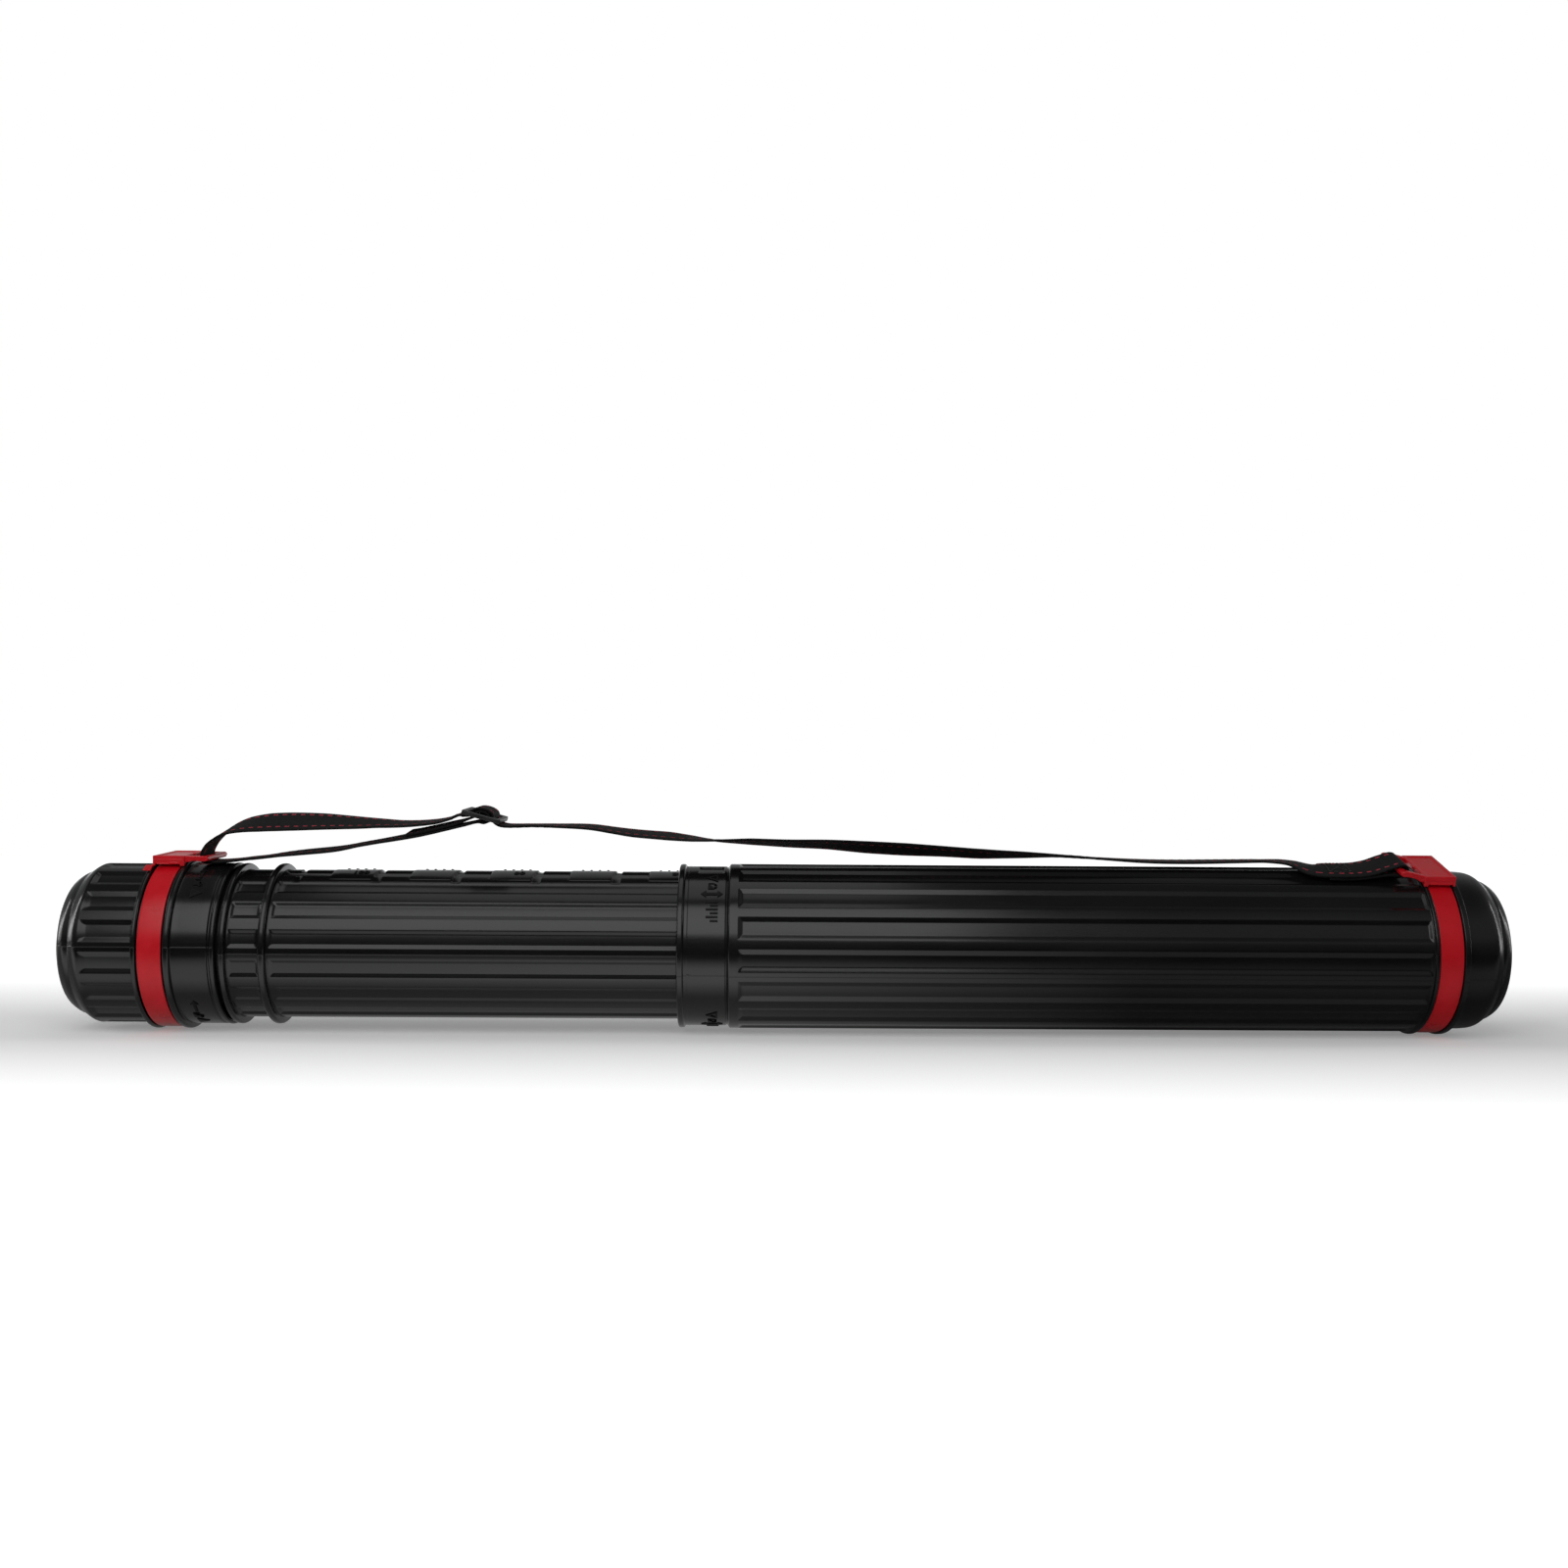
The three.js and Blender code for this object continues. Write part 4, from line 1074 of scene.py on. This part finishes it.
def black_plastic():
    m = Surface("moulded_black_plastic")
    coords = m.coords()
    stretched = m.coords(scale=(0.3, 1, 1))
    cloud = m.noise(stretched, scale=30, detail=4, rough=0.55)
    fine = m.noise(coords, scale=900, rough=0.6)
    grain = m.noise(coords, scale=3600, detail=2)
    haze = m.noise(m.coords(scale=(0.06, 1, 1)), scale=420, rough=0.55)
    base = m.mix(m.remap(cloud), (0.0052, 0.0052, 0.0056), (0.0088, 0.0087, 0.0092))
    worn = m.times(m.wear(span=(0.51, 0.60)), m.remap(fine, span=(0.42, 0.7), to=(0.0, 0.7)))
    waves = m.bump(m.noise(stretched, scale=40, detail=2, rough=0.45),
                   strength=0.05, distance=0.0008)
    specks = m.bump(fine, strength=0.05, distance=0.0001, below=waves)
    return m.finish({
        "Base Color": m.mix(worn, base, (0.034, 0.034, 0.035)),
        "Roughness": m.plus(m.remap(cloud, to=(0.16, 0.21)),
                            m.remap(haze, span=(0.5, 0.75), to=(0.0, 0.04))),
        "Specular IOR Level": 0.5,
        "Normal": m.bump(grain, strength=0.06, distance=0.00003, below=specks),
    })


def matt_relief():
    m = Surface("spark_matt_black_relief")
    fine = m.noise(m.coords(), scale=1600, rough=0.6)
    return m.finish({
        "Base Color": m.mix(m.remap(fine, span=(0.35, 0.7)),
                            (0.0022, 0.0022, 0.0023), (0.006, 0.006, 0.006)),
        "Roughness": m.remap(fine, to=(0.42, 0.6)),
        "Specular IOR Level": 0.22,
        "Normal": m.bump(fine, strength=0.3, distance=0.00005),
    })


def red_plastic():
    m = Surface("moulded_red_plastic")
    coords = m.coords()
    cloud = m.noise(coords, scale=60)
    fine = m.noise(coords, scale=1500, rough=0.6)
    streak = m.noise(m.coords(scale=(1, 9, 9)), scale=45, detail=4, rough=0.6)
    base = m.mix(m.remap(cloud), (0.66, 0.0045, 0.012), (0.76, 0.0075, 0.019))
    base = m.mix(m.remap(streak, span=(0.55, 0.8), to=(0.0, 0.25)), base, (0.82, 0.014, 0.03))
    worn = m.times(m.wear(span=(0.515, 0.6)), 0.35)
    waves = m.bump(m.noise(coords, scale=120, detail=2), strength=0.12, distance=0.0005)
    return m.finish({
        "Base Color": m.mix(worn, base, (0.86, 0.08, 0.10)),
        "Roughness": m.plus(m.remap(cloud, to=(0.26, 0.34)),
                            m.remap(fine, span=(0.5, 0.8), to=(0, 0.08))),
        "Specular IOR Level": 0.4,
        "Subsurface Weight": 0.08,
        "Subsurface Radius": (0.6, 0.08, 0.05),
        "Subsurface Scale": 0.0012,
        "Normal": m.bump(fine, strength=0.12, distance=0.00006, below=waves),
    })


def slider_plastic():
    m = Surface("slider_black_plastic")
    coords = m.coords()
    cloud = m.noise(coords, scale=90)
    fine = m.noise(coords, scale=1800, rough=0.6)
    base = m.mix(m.remap(cloud), (0.012, 0.012, 0.012), (0.022, 0.0215, 0.021))
    worn = m.times(m.wear(span=(0.52, 0.62)), 0.6)
    return m.finish({
        "Base Color": m.mix(worn, base, (0.075, 0.074, 0.072)),
        "Roughness": m.remap(cloud, to=(0.34, 0.46)),
        "Normal": m.bump(fine, strength=0.25, distance=0.00008),
    })


def webbing():
    """Black weave with red dashes near both edges, laid out by the UVs."""
    m = Surface("woven_webbing")
    uv = m.separate(m.add("ShaderNodeTexCoord").outputs["UV"])
    s = m.times(uv[0], 1000.0)
    v = m.math("SUBTRACT", m.times(uv[1], 1000.0), HALF_WEB)
    # dashes
    off = m.math("ABSOLUTE", m.math("SUBTRACT", m.math("ABSOLUTE", v), DASH_V))
    wobble = m.remap(m.noise(m.coords(), scale=700, detail=2), to=(-0.16, 0.16))
    near = m.math("LESS_THAN", m.plus(off, wobble), DASH_W)
    run = m.math("LESS_THAN", m.math("MODULO", m.plus(s, wobble), DASH_PITCH), DASH_LEN)
    dash = m.times(near, run)
    # yarns, with painted shade where they dip
    rib = m.math("ABSOLUTE", m.math("SINE", m.times(m.plus(v, HALF_WEB), pi / RIB)))
    rib_number = m.math("FLOOR", m.math("DIVIDE", m.plus(v, HALF_WEB), RIB))
    phase = m.plus(m.math("DIVIDE", s, WEFT), m.times(m.math("MODULO", rib_number, 2.0), 0.5))
    weft = m.math("ABSOLUTE", m.math("SINE", m.times(phase, pi)))
    cell = m.times(m.math("POWER", rib, 0.6), m.remap(weft, span=(0, 1), to=(0.5, 1.0)))
    fibre = m.noise(m.coords(), scale=2600, rough=0.65)
    dust = m.noise(m.coords(), scale=120, detail=4, rough=0.6)
    # painted shade: the black is darkest where the weave's height falls, between the ribs and
    # the picks
    dark = m.mix(cell, (0.0015, 0.0015, 0.0016), (0.0085, 0.0083, 0.0088))
    dark = m.mix(m.remap(fibre, span=(0.5, 0.8), to=(0.0, 0.25)), dark, (0.022, 0.0215, 0.022))
    dark = m.mix(m.remap(dust, span=(0.55, 0.8), to=(0.0, 0.06)), dark, (0.04, 0.039, 0.037))
    # the red yarns, with the same painted shade where the weave dips
    red = m.mix(cell, (0.20, 0.008, 0.022), (0.62, 0.05, 0.085))
    red = m.mix(m.remap(fibre, span=(0.45, 0.75), to=(0.0, 0.4)), red, (0.6, 0.16, 0.2))
    weave = m.bump(cell, strength=0.55, distance=0.00016)
    return m.finish({
        "Base Color": m.mix(dash, dark, red),
        "Roughness": m.remap(fibre, to=(0.7, 0.9)),
        "Specular IOR Level": 0.25,
        "Sheen Weight": 0.04,
        "Sheen Roughness": 0.45,
        "Normal": m.bump(fibre, strength=0.35, distance=0.00006, below=weave),
    })


def thread():
    m = Surface("sewing_thread")
    ply = m.add("ShaderNodeTexWave", {"Vector": m.coords(), "Scale": 900.0, "Distortion": 1.5},
                wave_type="BANDS", bands_direction="DIAGONAL").outputs["Fac"]
    return m.finish({
        # painted shade: the thread is darker in the grooves of its twist, where the bump sinks
        "Base Color": m.mix(ply, (0.014, 0.0135, 0.014), (0.06, 0.058, 0.06)),
        "Roughness": 0.62,
        "Normal": m.bump(ply, strength=0.5, distance=0.00005),
    })


BLACK, RELIEF, RED = black_plastic(), matt_relief(), red_plastic()
SLIDER, WEBBING, THREAD = slider_plastic(), webbing(), thread()


# ---------------------------------------------------------------------------
# what each piece is made of, rides on and replaces
# ---------------------------------------------------------------------------
def dress(obj, material):
    obj.data.materials.clear()
    obj.data.materials.append(material)


for obj, material, slot, body in (
    (outer, BLACK, "black_plastic", "barrel"),
    (outer_marks, RELIEF, "black_plastic", "barrel"),
    (lock_lug, BLACK, "black_plastic", "barrel"),
    (gate, BLACK, "black_plastic", "barrel"),
    (inner, BLACK, "black_plastic", "extension"),
    (scale_marks, RELIEF, "black_plastic", "extension"),
    (neck_rib, BLACK, "black_plastic", "extension"),
    (cap, BLACK, "black_plastic", "cap"),
    (cap_marks, RELIEF, "black_plastic", "cap"),
    (cap_lugs, BLACK, "black_plastic", "cap"),
    (cap_band, RED, "red_plastic", "cap_ring"),
    (cap_buckle, RED, "red_plastic", "cap_ring"),
    (base_band, RED, "red_plastic", "base_ring"),
    (base_buckle, RED, "red_plastic", "base_ring"),
    (adjuster, SLIDER, "slider_plastic", "adjuster"),
    (base_sew, THREAD, "thread", "base_ring"),
    (tail_sew, THREAD, "thread", "adjuster"),
):
    dress(obj, material)
    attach(obj, body)

for obj, bodies in strap_pieces:
    dress(obj, WEBBING)
    if len(bodies) == 1:
        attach(obj, bodies[0])
    else:
        body, next_body, x0, x1 = bodies
        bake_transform(obj)

for obj, part in (
    (outer, "outer_tube"), (inner, "inner_tube"), (cap, "end_cap"),
    (cap_band, "cap_ring_band"), (base_band, "base_ring_band"),
    (cap_buckle, "cap_buckle"), (base_buckle, "base_buckle"), (adjuster, "strap_adjuster"),
    *((piece, "shoulder_strap") for piece, _ in strap_pieces),
    (base_sew, "base_stitch_tack"), (tail_sew, "adjuster_stitch_tack"),
):
    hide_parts(part)


# ---------------------------------------------------------------------------
# floor, lights, world and camera, in metres
# ---------------------------------------------------------------------------
def floor_material():
    m = Surface("pale_floor")
    cloud = m.remap(m.noise(m.coords(), scale=3))
    # the paper also glows to the camera, more so further out, so it stays white to its edge
    path = m.add("ShaderNodeLightPath").outputs
    geometry = m.add("ShaderNodeNewGeometry").outputs
    x, y, _ = m.separate(geometry["Position"])
    beyond_end = m.math("SUBTRACT", m.math("ABSOLUTE", x), 0.46)
    distance = m.math("MAXIMUM", beyond_end, m.math("ABSOLUTE", y))
    glow = m.remap(distance, span=(0.05, 0.42))
    m.finish({
        "Base Color": m.mix(cloud, (0.90, 0.90, 0.90), (0.92, 0.92, 0.92)),
        "Roughness": 0.9,
        "Specular IOR Level": 0.1,
        "Emission Color": (1, 1, 1, 1),
        "Emission Strength": m.times(path["Is Camera Ray"], m.plus(m.times(glow, 0.75), 0.22)),
    })
    # what the glossy plastic mirrors is painted light: the paper glows to glossy rays alone, a
    # bright strip beside the tube, dark further out, bright far behind
    side = m.math("ABSOLUTE", y)
    strip = m.times(m.remap(side, span=(0.050, 0.078), to=(0.25, 1.0)),
                    m.remap(side, span=(0.125, 0.235), to=(1.0, 0.012)))
    along = m.times(m.remap(x, span=(-0.02, 0.22), to=(1.2, 0.22)),
                    m.remap(x, span=(-0.42, -0.10), to=(0.75, 1.0)))
    far_back = m.remap(y, span=(0.45, 0.9), to=(0.0, 0.9))
    mirror = m.add("ShaderNodeEmission", {"Strength": m.plus(m.times(strip, along), far_back)})
    paper = m.mix_shader(path["Is Glossy Ray"], m.bsdf.outputs[0], mirror.outputs[0])
    # seen from underneath the paper is clear, so the tube's underside shows
    clear = m.add("ShaderNodeBsdfTransparent").outputs[0]
    below = m.times(geometry["Backfacing"], path["Is Camera Ray"])
    m.put(m.output, {0: m.mix_shader(below, paper, clear)})
    return m.material


def floor():
    bm = bmesh.new()
    bmesh.ops.create_grid(bm, x_segments=2, y_segments=2, size=3.0)
    obj = add_object("floor", mesh_from(bm, "floor"))
    obj.data.materials.append(floor_material())


def softbox(name, size, location, target, power):
    light = bpy.data.lights.new(name, "AREA")
    light.shape = "RECTANGLE"
    light.size, light.size_y = size
    light.energy = power
    obj = add_object(name, light)
    obj.location = location
    aim = Vector(target) - Vector(location)
    obj.rotation_euler = aim.to_track_quat("-Z", "Y").to_euler()


def studio_world():
    """White to the camera; other rays see a dim room with a brighter band high up."""
    world = bpy.data.worlds.new("studio")
    bpy.context.scene.world = world
    w = Nodes(world, "ShaderNodeOutputWorld")
    # the incoming direction points back from the room, so upward rays have negative z
    _, y, z = w.separate(w.add("ShaderNodeNewGeometry").outputs["Incoming"])
    rise = w.remap(z, span=(-0.10, -0.34))
    fall = w.remap(z, span=(-0.66, -0.90), to=(1.0, 0.12))
    room = w.plus(w.times(w.times(rise, fall), 0.19), 0.05)
    # a bright backdrop low behind the tube
    behind = w.remap(y, span=(-0.20, -0.55))
    low = w.remap(w.math("ABSOLUTE", z), span=(0.12, 0.28), to=(1.0, 0.0))
    backdrop = w.times(w.times(behind, low), 0.9)
    seen = w.add("ShaderNodeBackground", {"Color": (1, 1, 1, 1), "Strength": 1.0})
    around = w.add("ShaderNodeBackground", {"Color": (0.97, 0.98, 1.0, 1),
                                            "Strength": w.plus(room, backdrop)})
    is_camera = w.add("ShaderNodeLightPath").outputs["Is Camera Ray"]
    w.put(w.output, {0: w.mix_shader(is_camera, around.outputs[0], seen.outputs[0])})


def camera():
    """In front of the tube's middle and a little above it, aimed slightly over it."""
    distance, elevation = 1.0458, radians(5.0)
    data = bpy.data.cameras.new("camera")
    obj = add_object("camera", data)
    data.sensor_width = 36
    data.lens = 37.251
    data.clip_start = 0.05
    axis_point = Vector((frame_x(48.5), 0, AXIS_Z / 1000))
    location = axis_point + Vector((0, -cos(elevation), sin(elevation))) * distance
    look = (axis_point - location).to_track_quat("-Z", "Y").to_matrix().to_4x4()
    # small turns about the camera's own axes: sideways, upwards, and level
    aim = (Matrix.Rotation(radians(-0.691), 4, "Y") @ Matrix.Rotation(radians(5.693), 4, "X")
           @ Matrix.Rotation(radians(0.3265), 4, "Z"))
    obj.matrix_world = Matrix.Translation(location) @ look @ aim
    bpy.context.scene.camera = obj


floor()
softbox("softbox_front", size=(1.20, 1.05), location=(-0.31, -0.996, 0.89),
        target=(-0.31, 0, 0.054), power=5.9)
softbox("softbox_over", size=(0.80, 0.85), location=(-0.22, 0.05, 1.30),
        target=(-0.22, 0, 0.054), power=1.3)
softbox("softbox_left", size=(0.12, 0.8), location=(-1.60, 0.10, 0.45),
        target=(-0.40, 0, 0.054), power=2.0)
softbox("softbox_right", size=(0.12, 0.9), location=(1.65, 0.15, 0.45),
        target=(0.42, 0, 0.054), power=1.7)
studio_world()
camera()
bpy.context.scene.view_settings.view_transform = "Standard"
